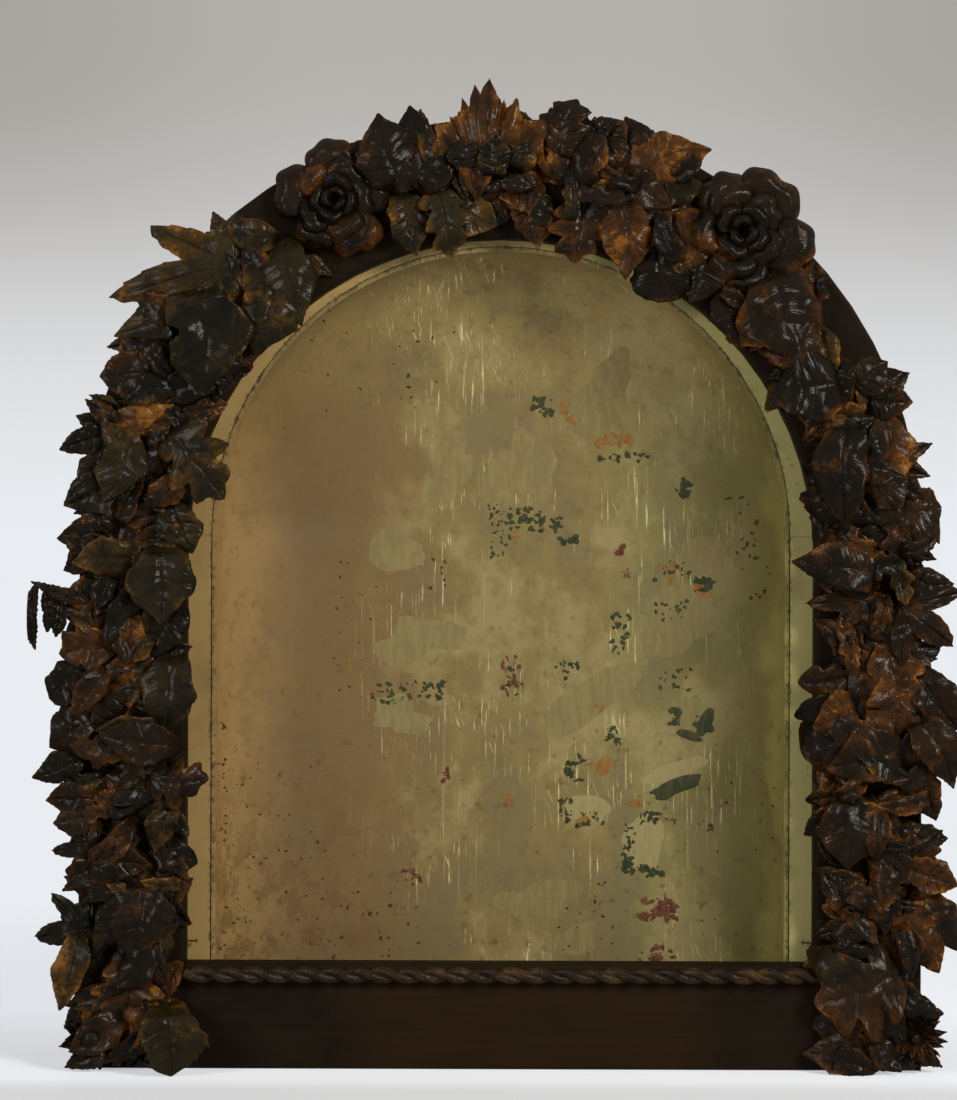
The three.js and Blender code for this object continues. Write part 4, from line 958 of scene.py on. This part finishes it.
def residue(name, thin, thick):
    """A dried fleck of paint or glue left where a flower was stuck."""
    material, graph, shader = new_material(name)
    tone = graph.noise(graph.stretch(graph.coords(), (260.0, 260.0, 60.0)), 1.0, 5.0, 0.7)
    graph.fill(shader, {
        "Base Color": graph.mix(graph.band(tone, 0.4, 0.62), srgb(*thin), srgb(*thick)),
        "Roughness": graph.band(tone, 0.3, 0.7, 0.5, 0.8),
        "Normal": graph.bump(tone, 0.5, 0.0006),
        "Specular IOR Level": 0.2,
    })
    return material


def old_iron():
    """Rusted iron for the brads."""
    material, graph, shader = new_material("rusted_wire")
    rust = graph.noise(graph.coords(), 700.0, 5.0, 0.7)
    graph.fill(shader, {
        "Base Color": graph.mix(graph.band(rust, 0.4, 0.6), srgb(62, 54, 48), srgb(96, 58, 34)),
        "Metallic": graph.band(rust, 0.4, 0.6, 0.85, 0.2),
        "Roughness": graph.band(rust, 0.3, 0.7, 0.4, 0.8),
        "Normal": graph.bump(rust, 0.4, 0.0002),
    })
    return material


class BoxSettings(bpy.types.PropertyGroup):
    """Sizes and colours that a user would change."""

    leaf_detail: FloatProperty(
        name="Leaf detail", description="How finely each leaf is divided", default=1.0,
        min=0.4, max=2.0)
    under_leaves: IntProperty(
        name="Under leaves", description="How many plain leaves lie under the main ones",
        default=400, min=0, max=900)
    rope_pitch: FloatProperty(
        name="Twist pitch", description="Length of one full turn of a moulding strand",
        default=0.036, unit="LENGTH")
    raw_hide: FloatVectorProperty(
        name="Raw hide", description="Colour of hide where the stain is rubbed off",
        default=srgb(78, 45, 16)[:3], subtype="COLOR", size=3)


def dress(node, material):
    """Gives a carried-over frame node its finish."""
    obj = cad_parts[node]
    obj.data.materials.clear()
    obj.data.materials.append(material)


class SHADOWBOX_OT_finishes(bpy.types.Operator):
    """Make the shared node groups and every finish"""

    bl_idname = "shadowbox.finishes"
    bl_label = "Finishes"

    def execute(self, context):
        raw = (*context.scene.shadow_box.raw_hide, 1.0)
        for tree in (rubbed_group(), grain_group(), dust_group()):
            GROUPS[tree.name] = tree
        for stain, (deep, light, patch) in STAINS.items():
            patch = srgb(*patch) if patch else raw
            MATERIALS[stain] = leather(
                "leather_" + stain, srgb(*deep), srgb(*light), patch, stain != "rope")
        MATERIALS["board"] = dark_wood()
        MATERIALS["case"] = case_wood()
        MATERIALS["strip"] = cream_paint("cream_strip", False)
        MATERIALS["niche"] = cream_paint("cream_niche", True)
        MATERIALS["iron"] = old_iron()
        for kind, tones in RESIDUE_TONES.items():
            MATERIALS["residue_" + kind] = residue("residue_" + kind, *tones)
        return {"FINISHED"}


class SHADOWBOX_OT_carcass(bpy.types.Operator):
    """Finish the front board, the case, the strips and the brads"""

    bl_idname = "shadowbox.carcass"
    bl_label = "Carcass"

    def execute(self, context):
        for finish, nodes in CARRIED_OVER.items():
            for node in nodes.split():
                dress(node, MATERIALS[finish])
        return {"FINISHED"}


def cove_depth(share, gain=0.0):
    """How far behind the niche's front edge its lining lies, at a share of its half width."""
    inside = np.clip(1 - np.abs(share) ** COVE_SHARPNESS, 0, 1) ** (1 / COVE_SHARPNESS)
    return float((NICHE_DEPTH + gain) * inside)


def lining_y(x, z):
    """The lining's front surface at a place on it."""
    away = math.hypot(x, max(z - NICHE_SPRING, 0.0)) / (NICHE_RADIUS - NICHE_WALL)
    return NICHE_FRONT + cove_depth(min(away, 1.0))


def cove_sheet(radius, gain):
    """Points and faces of one skin of the lining: a coved wall under a coved half dome."""
    rings, walls, turns = 48, 30, ARCH_STEPS
    spread = np.cos(np.linspace(0, math.pi / 2, rings))
    spine = np.concatenate([-spread, spread[::-1][1:]])
    points = []
    for k in range(walls + 1):
        height = NICHE_FLOOR + (NICHE_SPRING - NICHE_FLOOR) * k / walls
        for share in spine:
            points.append((radius * share, NICHE_FRONT + cove_depth(share, gain), height))
    width = len(spine)
    faces = grid_faces(walls + 1, width)
    start = len(points)
    for k in range(turns + 1):
        angle = math.pi * k / turns
        for share in spread:
            away = radius * share
            points.append((away * math.cos(angle), NICHE_FRONT + cove_depth(share, gain),
                           NICHE_SPRING + away * math.sin(angle)))
    faces += [(a, d, c, b) for a, b, c, d in grid_faces(turns + 1, rings, start)]
    return points, faces, width


def arch_line(radius, y):
    """Points of an arch at a depth, from the right foot over the top to the left foot."""
    angles = [math.pi * k / ARCH_STEPS for k in range(ARCH_STEPS + 1)]
    bend = [(radius * math.cos(t), y, NICHE_SPRING + radius * math.sin(t)) for t in angles]
    return [(radius, y, NICHE_FLOOR), *bend, (-radius, y, NICHE_FLOOR)]


class SHADOWBOX_OT_niche(bpy.types.Operator):
    """Build the coved lining behind the opening"""

    bl_idname = "shadowbox.niche"
    bl_label = "Niche lining"

    def execute(self, context):
        inner = NICHE_RADIUS - NICHE_WALL
        points, faces, width = cove_sheet(inner, 0.0)
        outer_points, outer_faces, _ = cove_sheet(NICHE_RADIUS, NICHE_WALL)
        first = len(points)
        faces += [tuple(i + first for i in face[::-1]) for face in outer_faces]
        faces += [(first + c, first + c + 1, c + 1, c) for c in range(width - 1)]
        points += outer_points
        front = NICHE_FLANGE_FRONT
        back = front + NICHE_FLANGE
        for far, near in (((NICHE_RADIUS, NICHE_FRONT), (inner, NICHE_FRONT)),
                          ((NICHE_FLANGE_RADIUS, front), (NICHE_RADIUS, front)),
                          ((NICHE_RADIUS, back), (NICHE_FLANGE_RADIUS, back)),
                          ((NICHE_FLANGE_RADIUS, back), (NICHE_FLANGE_RADIUS, front))):
            start = len(points)
            points += arch_line(*far)
            count = len(points) - start
            points += arch_line(*near)
            faces += [(start + k, start + k + 1, start + count + k + 1, start + count + k)
                      for k in range(count - 1)]
        mesh = new_mesh("niche_lining", points, faces, MATERIALS["niche"])
        mesh.validate()
        settle("niche_lining", mesh, "painted_board", "niche_shell")
        return {"FINISHED"}


def behind(pixel):
    """The place on the lining that a pixel shows, found along the line of sight."""
    near = place(pixel)
    x, z = near
    for _ in range(6):
        depth = (lining_y(x, z) - FACE_Y) / EYE_DISTANCE
        x = near[0] + (near[0] - EYE.x) * depth
        z = near[1] + (near[1] - EYE.z) * depth
    return x, z


def fleck(points, faces, centre, radius, rng, squash, lean, lift, torn):
    """One irregular flake that follows the lining's curve."""
    sides = 40
    waves = [(k, torn * rng.uniform(0.1, 0.6) / k, rng.uniform(0, 6.3)) for k in (2, 3, 5, 8, 13)]
    start = len(points)
    x, z = centre
    points.append((x, lining_y(x, z) - lift, z))
    for share, raised in ((0.55, 1.0), (1.0, 0.3)):
        for k in range(sides):
            angle = 2 * math.pi * k / sides
            ragged = 1 + sum(size * math.sin(rate * angle + phase) for rate, size, phase in waves)
            along = radius * share * ragged * math.cos(angle)
            over = radius * share * ragged * math.sin(angle) * squash
            px = x + along * math.cos(lean) - over * math.sin(lean)
            pz = z + along * math.sin(lean) + over * math.cos(lean)
            points.append((px, lining_y(px, pz) - lift * raised, pz))
    for k in range(sides):
        a = start + 1 + k
        b = start + 1 + (k + 1) % sides
        faces.append((start, a, b))
        faces.append((a, a + sides, b + sides, b))


class SHADOWBOX_OT_residues(bpy.types.Operator):
    """Lay flecks of old paint and glue on the lining"""

    bl_idname = "shadowbox.residues"
    bl_label = "Residues"

    def execute(self, context):
        rng = random.Random(5)
        gathered = {}
        lots = [(kind, map(float, row)) for (kind,), rows in read_table(RESIDUE_TABLE)
                for row in rows]
        for kind, (left, top, right, bottom, count, size, *stroke) in lots:
            points, faces = gathered.setdefault(kind, ([], []))
            lift = FLECK_LIFTS.get(kind, FLECK_LIFT)
            for _ in range(int(count) if stroke else 2 * int(count)):
                pixel = (rng.uniform(left, right), rng.uniform(top, bottom))
                squash, lean = stroke or (rng.uniform(0.35, 1.0), rng.uniform(0, 180))
                radius = size * PIXEL * (1.0 if stroke else rng.uniform(0.15, 1.0))
                torn = 0.45 if stroke and kind != "wash" else 1.1
                fleck(points, faces, behind(pixel), radius, rng, squash, math.radians(lean), lift,
                      torn)
        for kind, (points, faces) in gathered.items():
            name = "residue_" + kind
            mesh = new_mesh(name, points, faces, MATERIALS[name], smooth=False)
            settle(name, mesh, "painted_board")
        return {"FINISHED"}


def twist_tree(material):
    """Two strands wound round each other along a straight line."""
    tree = bpy.data.node_groups.new("twisted_strands", "GeometryNodeTree")
    tree.interface.new_socket("Geometry", in_out="OUTPUT", socket_type="NodeSocketGeometry")
    for label, value in (("Length", 0.44), ("Pitch", 0.036), ("Strand Radius", 0.0034),
                         ("Offset", 0.0026), ("Steps Per Turn", 24.0)):
        socket = tree.interface.new_socket(label, in_out="INPUT", socket_type="NodeSocketFloat")
        socket.default_value = value
    graph = Graph(tree)
    enter = tree.nodes.new("NodeGroupInput").outputs
    leave = tree.nodes.new("NodeGroupOutput").inputs
    half = graph.times(enter["Length"], 0.5)
    turns = graph.math("DIVIDE", enter["Length"], enter["Pitch"])
    count = graph.times(turns, enter["Steps Per Turn"])
    line = graph.out("GeometryNodeCurvePrimitiveLine", {
        "Start": graph.vector(graph.times(half, -1.0)), "End": graph.vector(half)})
    fine = graph.out("GeometryNodeResampleCurve", {"Curve": line, "Count": count})
    reach = graph.split(graph.out("GeometryNodeInputPosition"))["X"]
    angle = graph.times(graph.math("DIVIDE", reach, enter["Pitch"]), 2 * math.pi)
    join = graph.add("GeometryNodeJoinGeometry")
    for phase in (0.0, math.pi):
        turned = graph.plus(angle, phase)
        offset = graph.vector(
            0.0, graph.times(graph.math("COSINE", turned), enter["Offset"]),
            graph.times(graph.math("SINE", turned), enter["Offset"]))
        moved = graph.out("GeometryNodeSetPosition", {"Geometry": fine, "Offset": offset})
        section = graph.out("GeometryNodeCurvePrimitiveCircle",
                            {"Resolution": 12, "Radius": enter["Strand Radius"]})
        strand = graph.out("GeometryNodeCurveToMesh",
                           {"Curve": moved, "Profile Curve": section, "Fill Caps": True})
        graph.feed(join.inputs["Geometry"], strand)
    whole = graph.out("GeometryNodeRealizeInstances", {"Geometry": join.outputs["Geometry"]})
    stained = graph.out("GeometryNodeSetMaterial", {"Geometry": whole, "Material": material})
    graph.feed(leave["Geometry"], stained)
    return tree


def grown_mesh(tree, values, name):
    """The plain mesh that a node tree makes, with its named inputs set first."""
    holder = bpy.data.objects.new(name + "_holder", bpy.data.meshes.new(name + "_holder"))
    bpy.context.collection.objects.link(holder)
    modifier = holder.modifiers.new("grow", "NODES")
    modifier.node_group = tree
    for item in tree.interface.items_tree:
        if item.in_out == "INPUT" and item.name in values:
            modifier[item.identifier] = values[item.name]
    graph = bpy.context.evaluated_depsgraph_get()
    mesh = bpy.data.meshes.new_from_object(holder.evaluated_get(graph), depsgraph=graph)
    holder.modifiers.remove(modifier)
    bpy.data.objects.remove(holder)
    mesh.name = name
    return mesh


class SHADOWBOX_OT_rope(bpy.types.Operator):
    """Lay the two-strand twisted moulding along the rail"""

    bl_idname = "shadowbox.rope"
    bl_label = "Twisted moulding"

    def execute(self, context):
        low, high = ROPE_BOX
        radius = (high.z - low.z) / 2
        strand = radius * STRAND_SHARE
        values = {
            "Length": high.x - low.x - 2 * SEAM,
            "Pitch": context.scene.shadow_box.rope_pitch,
            "Strand Radius": strand,
            "Offset": radius - strand,
        }
        mesh = grown_mesh(twist_tree(MATERIALS["rope"]), values, "twisted_moulding")
        if not mesh.vertices:
            raise RuntimeError("the twisted moulding came out empty")
        middle = (low + high) / 2
        for vertex in mesh.vertices:
            vertex.co += middle
        mesh.polygons.foreach_set("use_smooth", [True] * len(mesh.polygons))
        settle("twisted_moulding", mesh, "leather_rope", "rope_moulding")
        return {"FINISHED"}


def rose_petal(hide, centre, turn, spread, radii, heights, rng, roll, shade, worn):
    """One petal: part of a flaring cup round the heart, with a rolled, rounded rim."""
    rows, columns = 26, 33
    low_radius, high_radius = radii
    foot, top = heights
    s = np.linspace(0, 1, rows)[:, None]
    u = np.linspace(-1, 1, columns)[None, :]
    uneven = 1 + 0.05 * np.sin(u * 5 + rng.uniform(0, 6)) + 0.03 * np.sin(u * 11 + rng.uniform(0, 6))
    reach = (high_radius - low_radius) * (1 - 0.4 * u ** 4) * uneven
    away = low_radius + reach * s + 0.06 * high_radius * u
    angle = turn + spread * u
    x = centre[0] + away * np.cos(angle)
    z = centre[1] + away * np.sin(angle)
    climb = np.sin(np.minimum(s, 0.74) / 0.74 * math.pi / 2) - roll * np.clip(s - 0.74, 0, 1) ** 2
    rise = (top - foot) * climb * (1 - 0.4 * u ** 2 + 0.22 * u)
    height = foot + rise + crumple(x, z, rng, 0.012) * 0.0007
    rim = np.clip((1 - s) * 4, 0, 1)
    creases = (angle * high_radius, s * 0.006)
    hide.lay(x, z, height, rim, 0 * x, creases, rng.random(), shade, worn)


def rose_petals(hide, centre, radius, height, rng):
    """Rings of broad cupped petals that stand up more steeply towards a heart that is painted dark as
    painted shade.
    """
    for number, (count, spread, (low, high), (foot, top), roll, light) in enumerate(PETAL_RINGS):
        start = rng.uniform(0, 6.3)
        for k in range(count):
            turn = start + (k + rng.uniform(-0.12, 0.12)) / count * 2 * math.pi
            size = rng.uniform(0.88, 1.06)
            rose_petal(hide, centre, turn, spread * rng.uniform(0.85, 1.05),
                       (radius * low, radius * high * size),
                       (height * foot, height * top * rng.uniform(0.85, 1.05)), rng, roll,
                       light * rng.uniform(0.4, 1.2), rng.uniform(0.0, 0.7) * (number < 2))


def strap_flower(hide, centre, rings, rng, shade, worn):
    """A cut fringe: rings of narrow pointed straps round a button."""
    for count, reach, foot, top, wide in rings:
        turn = rng.uniform(0, 6.3)
        for k in range(count):
            angle = turn + k / count * 2 * math.pi + rng.uniform(-0.08, 0.08)
            outward = heading(angle)
            base = centre + outward * STRAP_REACH * 0.15
            tip = centre + outward * STRAP_REACH * reach * rng.uniform(0.9, 1.05)

            def lift(share, foot=foot, top=top):
                return STRAP_HEIGHT * (foot + (top - foot) * np.clip(share, 0, 1))

            blade(hide, "lance", base, tip, STRAP_REACH * wide, lift, rng, cup=-0.3,
                  shade=shade + rng.uniform(-0.15, 0.15), worn=worn, detail=0.4, veins=1,
                  wave=0.2, curl=rng.uniform(-0.2, 0.3), relief=0.3)


def button(hide, centre, radius, height, rng, shade, worn, ridges):
    """A domed core, cross-hatched into small scales that stand up by a share of its radius."""
    rows, columns, turns = 26, 56, 7
    grid = np.zeros((rows, columns, 3))
    for r in range(rows):
        climb = r / (rows - 1)
        for c in range(columns):
            angle = c / columns * 2 * math.pi
            hatch = math.sin(angle * turns + climb * 16) * math.sin(angle * turns - climb * 16)
            wide = radius * math.cos(climb * math.pi / 2 * 0.97) * (1 + ridges * hatch)
            grid[r, c] = (centre[0] + wide * math.cos(angle),
                          FACE_Y - height * math.sin(climb * math.pi / 2),
                          centre[1] + wide * math.sin(angle))
    crown = [[centre[0], FACE_Y - height, centre[1]]]
    points = np.concatenate([grid.reshape(-1, 3), crown])
    points[:, 2] = np.maximum(points[:, 2], LOWEST)
    faces = []
    for r in range(rows - 1):
        for c in range(columns):
            a = r * columns + c
            b = r * columns + (c + 1) % columns
            faces.append((a, b, b + columns, a + columns))
    top = (rows - 1) * columns
    faces += [(top + c, top + (c + 1) % columns, len(points) - 1) for c in range(columns)]
    faces.append(tuple(range(columns))[::-1])
    values = np.zeros((len(points), 4))
    values[:, 0] = 1.0
    values[:, 2] = shade
    values[:, 3] = worn
    creases = np.stack([points[:, 0], points[:, 2], np.full(len(points), rng.random())], axis=1)
    hide.add(points, faces, values, creases)


class SHADOWBOX_OT_roses(bpy.types.Operator):
    """Shape the two roses"""

    bl_idname = "shadowbox.roses"
    bl_label = "Roses"

    def execute(self, context):
        for node, pixel, radius, seed in ROSES:
            rng = random.Random(seed)
            hide = Hide()
            centre = place(pixel)
            rose_petals(hide, centre, radius, ROSE_HEIGHT, rng)
            # The heart takes the darkest shade, as painted shade in the rose's recess
            button(hide, centre, radius * HEART_SHARE, HEART_HEIGHT, rng, 0.0, 0.0, 0.1)
            hide.piece(node + "_petals", "dark", node)
        return {"FINISHED"}


class SHADOWBOX_OT_small_flowers(bpy.types.Operator):
    """Shape the cone flower and the tassel flower, and give the bud its finish"""

    bl_idname = "shadowbox.small_flowers"
    bl_label = "Small flowers"

    def execute(self, context):
        rng = random.Random(31)
        hide = Hide()
        centre = place(CONE_PIXEL)
        button(hide, centre, *CONE_CORE, rng, 0.25, 0.1, 0.14)
        strap_flower(hide, centre, CONE_STRAPS, rng, 0.25, 0.1)
        hide.piece("cone_flower_scales", "dark", "cone_flower")
        hide = Hide()
        centre = place(TASSEL_PIXEL)
        button(hide, centre, *TASSEL_CORE, rng, 0.4, 0.4, 0.1)
        strap_flower(hide, centre, TASSEL_STRAPS, rng, 0.3, 0.3)
        hide.piece("tassel_flower_fringe", "tan", "tassel_flower")
        dress("bud", MATERIALS["rope"])
        return {"FINISHED"}


class SHADOWBOX_OT_garland(bpy.types.Operator):
    """Shape every named leaf and spray of the garland"""

    bl_idname = "shadowbox.garland"
    bl_label = "Garland"

    def execute(self, context):
        detail = context.scene.shadow_box.leaf_detail
        for number, ((node, stain), leaves) in enumerate(read_table(GARLAND_TABLE)):
            rng = random.Random(GARLAND_SEED + number)
            hide = Hide()
            for form, *numbers in leaves:
                leaf(hide, form, map(float, numbers), rng, detail)
            hide.piece(node + "_hide", stain, node)
        return {"FINISHED"}


def band_point(along_share, across_share):
    """A point on the band, from the left foot over the arch to the right foot."""
    bend = math.pi * (FRAME_RADIUS + OPENING_RADIUS) / 2
    walk = along_share * (2 * SPRING + bend)
    radius = OPENING_RADIUS + across_share * BAND_WIDTH
    if walk < SPRING:
        return np.array([-radius, walk])
    if walk < SPRING + bend:
        angle = math.pi * (1 - (walk - SPRING) / bend)
        return np.array([radius * math.cos(angle), SPRING + radius * math.sin(angle)])
    return np.array([radius, 2 * SPRING + bend - walk])


def is_bare(point):
    """Whether a point lies on bare board or under a rose."""
    if any(np.linalg.norm(point - place(pixel)) < radius for _, pixel, radius, _ in ROSES):
        return True
    for low, high in BARE_PATCHES:
        a = place(low)
        b = place(high)
        if a[0] < point[0] < b[0] and b[1] < point[1] < a[1]:
            return True
    return False


def drawn(rng, ranges):
    """A random value within each named range."""
    return {name: rng.uniform(low, high) for name, (low, high) in ranges.items()}


class SHADOWBOX_OT_under_leaves(bpy.types.Operator):
    """Tuck plain leaves under the main ones"""

    bl_idname = "shadowbox.under_leaves"
    bl_label = "Under leaves"

    def execute(self, context):
        rng = random.Random(7)
        count = context.scene.shadow_box.under_leaves
        hides = {(stain, side): Hide()
                 for stain in ("dark", "green", "tan") for side in ("left", "right")}
        for number in range(count):
            along_share = (number + rng.random()) / count
            middle = band_point(along_share, rng.uniform(0.14, 0.86))
            length = rng.uniform(0.024, 0.052)
            outward = band_point(along_share, 1.0) - band_point(along_share, 0.0)
            hanging = math.atan2(outward[1] / BAND_WIDTH - HANG_SHARE, outward[0] / BAND_WIDTH)
            level = outward[1] < HANG_SHARE * BAND_WIDTH
            turn = rng.gauss(hanging, HANG_SCATTER) if level else rng.uniform(0, 2 * math.pi)
            base = middle - heading(turn) * length / 2
            tip = middle + heading(turn) * length / 2
            base[1] = max(base[1], LOWEST_UNDER)
            tip[1] = max(tip[1], LOWEST_UNDER)
            if any(map(is_bare, (middle, tip, base))):
                continue
            length = np.linalg.norm(tip - base)
            lift = lifted(rng.choice((0.1, 0.4, 0.8, 1.3, 2.0)), length, 0.14)
            form = rng.choice(("ovate", "plain", "lobed", "lance", "lance"))
            greens = 0.5 if along_share < GREEN_UP_TO else 0.12
            stain = "green" if rng.random() < greens else rng.choice(("dark", "dark", "tan"))
            side = "left" if middle[0] < 0 else "right"
            blade(hides[stain, side], form, base, tip, length * rng.uniform(0.16, 0.3), lift, rng,
                  **drawn(rng, UNDER_RANGES))
        for number in range(count // 3):
            outer = number % 3 > 0
            along_share = (number + rng.random()) / (count // 3)
            base = band_point(along_share, 0.72 if outer else 0.3)
            reach = rng.uniform(1.04, 1.18) if outer else rng.uniform(-0.08, 0.06)
            tip = band_point(along_share + rng.uniform(-0.02, 0.02), reach)
            tip[1] = max(tip[1], LOWEST_UNDER)
            if is_bare(tip) or is_bare(base) or (not outer and tip[1] < RAIL_TOP + 0.02):
                continue
            length = np.linalg.norm(tip - base)
            lift = lifted(rng.choice((0.3, 0.8, 1.4)), length)
            stain = "green" if along_share < GREEN_UP_TO and rng.random() < 0.5 else "dark"
            side = "left" if tip[0] < 0 else "right"
            blade(hides[stain, side], rng.choice(("lance", "ovate", "serrate")), base, tip,
                  length * rng.uniform(0.14, 0.26), lift, rng, wave=0.2,
                  **drawn(rng, EDGE_RANGES))
        for (stain, side), hide in hides.items():
            hide.piece("under_leaves_" + stain + "_" + side, stain)
        return {"FINISHED"}


def lamp(name, power, size, place_at, colour):
    """A square lamp that points at the box."""
    data = bpy.data.lights.new(name, "AREA")
    data.energy = power
    data.size = size
    data.color = colour
    obj = bpy.data.objects.new(name, data)
    obj.location = place_at
    way = Vector(LAMP_AIM) - Vector(place_at)
    obj.rotation_euler = way.to_track_quat("-Z", "Y").to_euler()
    bpy.context.collection.objects.link(obj)


# The light grey that the background starts with
PALE_TONE = srgb(233, 236, 240)

# The lamps: power in watts, size in metres, place and colour, and where they point
LAMPS = {
    "key": (53.0, 0.65, (1.5, -1.9, 1.25), (1.0, 0.97, 0.9)),
    "fill": (28.5, 0.8, (-1.6, -1.9, 0.95), (1.0, 0.97, 0.92)),
}
LAMP_AIM = (0, 0, 0.33)

# The sweep: its half width, where it starts in front and where it bends up behind the box, the
# radius of that bend and its height
SWEEP_REACH = 5.0
SWEEP_FRONT = -5.0
SWEEP_BACK = 3.0
SWEEP_BEND = 0.6
SWEEP_TOP = 5.0


def sweep_mesh():
    """A floor that curves up into a backdrop."""
    steps = 16
    line = [(SWEEP_FRONT, 0.0)]
    for k in range(steps + 1):
        angle = k / steps * math.pi / 2
        rise = SWEEP_BEND * (1 - math.cos(angle))
        line.append((SWEEP_BACK + SWEEP_BEND * math.sin(angle), rise))
    line.append((SWEEP_BACK + SWEEP_BEND, SWEEP_TOP))
    points = [(x, y, z) for y, z in line for x in (-SWEEP_REACH, SWEEP_REACH)]
    return new_mesh("sweep", points, grid_faces(len(line), 2), pale_backdrop())


def seen_rays(graph):
    """1 for the rays of the camera and for those that metal and glass send on."""
    path = graph.add("ShaderNodeLightPath").outputs
    mirrored = graph.math("MAXIMUM", path["Is Glossy Ray"], path["Is Transmission Ray"])
    return graph.math("MAXIMUM", path["Is Camera Ray"], mirrored)


def pale_backdrop():
    """A pale floor that takes shadows near the box, with a glow for seen rays as painted light that is
    weaker in front of the box as painted shade, and plain tones further off that grow darker towards the
    top and the upper corners as painted shade.
    """
    material, graph, shader = new_material("pale_sweep")
    places = graph.split(graph.coords())
    seen = seen_rays(graph)
    graph.feed(shader.inputs["Base Color"], srgb(205, 205, 207))
    shader.inputs["Roughness"].default_value = 0.8
    # Painted light: the floor glows for seen rays, less just in front of the box as painted shade
    near = graph.band(places["Y"], FACE_Y - 0.09, FACE_Y - 0.03, 0.34, 0.54)
    far = graph.band(places["Y"], FACE_Y + 0.05, FACE_Y + 0.3, 0.0, 0.13)
    strength = graph.times(graph.plus(near, far), seen)
    lit = graph.out("ShaderNodeEmission", {"Color": srgb(236, 240, 246), "Strength": strength})
    floor = graph.out("ShaderNodeAddShader", {0: shader.outputs["BSDF"], 1: lit})
    # Painted shade: the backdrop darker towards the top and the upper corners
    tone = graph.mix(graph.band(places["Z"], 0.34, 1.36), PALE_TONE, srgb(180, 176, 172))
    aside = graph.band(graph.math("ABSOLUTE", places["X"]), 0.25, 1.0)
    corner = graph.times(aside, graph.band(places["Z"], 0.76, 1.36))
    tone = graph.paint(tone, (162, 158, 154), corner, 0.7)
    glow = graph.out("ShaderNodeEmission", {"Color": tone})
    squares = [graph.times(places[axis], places[axis]) for axis in "XY"]
    away = graph.band(graph.math("SQRT", graph.plus(*squares)), 0.42, 1.1)
    output = next(node for node in graph.tree.nodes if node.bl_idname == "ShaderNodeOutputMaterial")
    graph.feed(output.inputs["Surface"], graph.blend(graph.times(seen, away), floor, glow))
    return material


def studio_world():
    """A dim even light, and a pale tone where the camera sees past the floor."""
    world = bpy.data.worlds.new("studio")
    world.use_nodes = True
    world.node_tree.nodes.clear()
    graph = Graph(world.node_tree)
    even = graph.out("ShaderNodeBackground", {"Color": srgb(255, 255, 255), "Strength": 0.09})
    pale = graph.out("ShaderNodeBackground", {"Color": PALE_TONE})
    graph.add("ShaderNodeOutputWorld", {"Surface": graph.blend(seen_rays(graph), even, pale)})
    return world


class SHADOWBOX_OT_stage(bpy.types.Operator):
    """Set the floor, backdrop, lamps and camera"""

    bl_idname = "shadowbox.stage"
    bl_label = "Stage"

    def execute(self, context):
        scene = context.scene
        sweep = bpy.data.objects.new("sweep", sweep_mesh())
        context.collection.objects.link(sweep)

        scene.world = studio_world()
        for name, settings in LAMPS.items():
            lamp(name, *settings)

        data = bpy.data.cameras.new("camera")
        data.sensor_fit = "HORIZONTAL"
        data.sensor_width = 36.0
        data.lens = data.sensor_width * EYE_DISTANCE / (PHOTO_WIDTH * PIXEL)
        data.clip_end = 50.0
        camera = bpy.data.objects.new("camera", data)
        camera.location = EYE
        camera.rotation_euler = (math.pi / 2, math.radians(PHOTO_LEAN), 0)
        context.collection.objects.link(camera)
        scene.camera = camera
        scene.view_settings.view_transform = "Standard"
        return {"FINISHED"}


class SHADOWBOX_PT_panel(bpy.types.Panel):
    """Lists the pieces of the shadow box"""

    bl_label = "Shadow box"
    bl_idname = "SHADOWBOX_PT_panel"
    bl_space_type = "VIEW_3D"
    bl_region_type = "UI"
    bl_category = "Shadow Box"

    def draw(self, context):
        settings = context.scene.shadow_box
        for name in ("leaf_detail", "under_leaves", "rope_pitch", "raw_hide"):
            self.layout.prop(settings, name)
        for operator in OPERATORS:
            self.layout.operator(operator.bl_idname)


OPERATORS = (
    SHADOWBOX_OT_finishes,
    SHADOWBOX_OT_carcass,
    SHADOWBOX_OT_niche,
    SHADOWBOX_OT_residues,
    SHADOWBOX_OT_rope,
    SHADOWBOX_OT_roses,
    SHADOWBOX_OT_small_flowers,
    SHADOWBOX_OT_garland,
    SHADOWBOX_OT_under_leaves,
    SHADOWBOX_OT_stage,
)


def register():
    bpy.utils.register_class(BoxSettings)
    for operator in OPERATORS:
        bpy.utils.register_class(operator)
    bpy.utils.register_class(SHADOWBOX_PT_panel)
    bpy.types.Scene.shadow_box = PointerProperty(type=BoxSettings)


def unregister():
    del bpy.types.Scene.shadow_box
    bpy.utils.unregister_class(SHADOWBOX_PT_panel)
    for operator in reversed(OPERATORS):
        bpy.utils.unregister_class(operator)
    bpy.utils.unregister_class(BoxSettings)


def main():
    register()
    bpy.ops.shadowbox.finishes()
    bpy.ops.shadowbox.carcass()
    bpy.ops.shadowbox.niche()
    bpy.ops.shadowbox.residues()
    bpy.ops.shadowbox.rope()
    bpy.ops.shadowbox.roses()
    bpy.ops.shadowbox.small_flowers()
    bpy.ops.shadowbox.garland()
    bpy.ops.shadowbox.under_leaves()
    bpy.ops.shadowbox.stage()


if __name__ == "__main__":
    main()
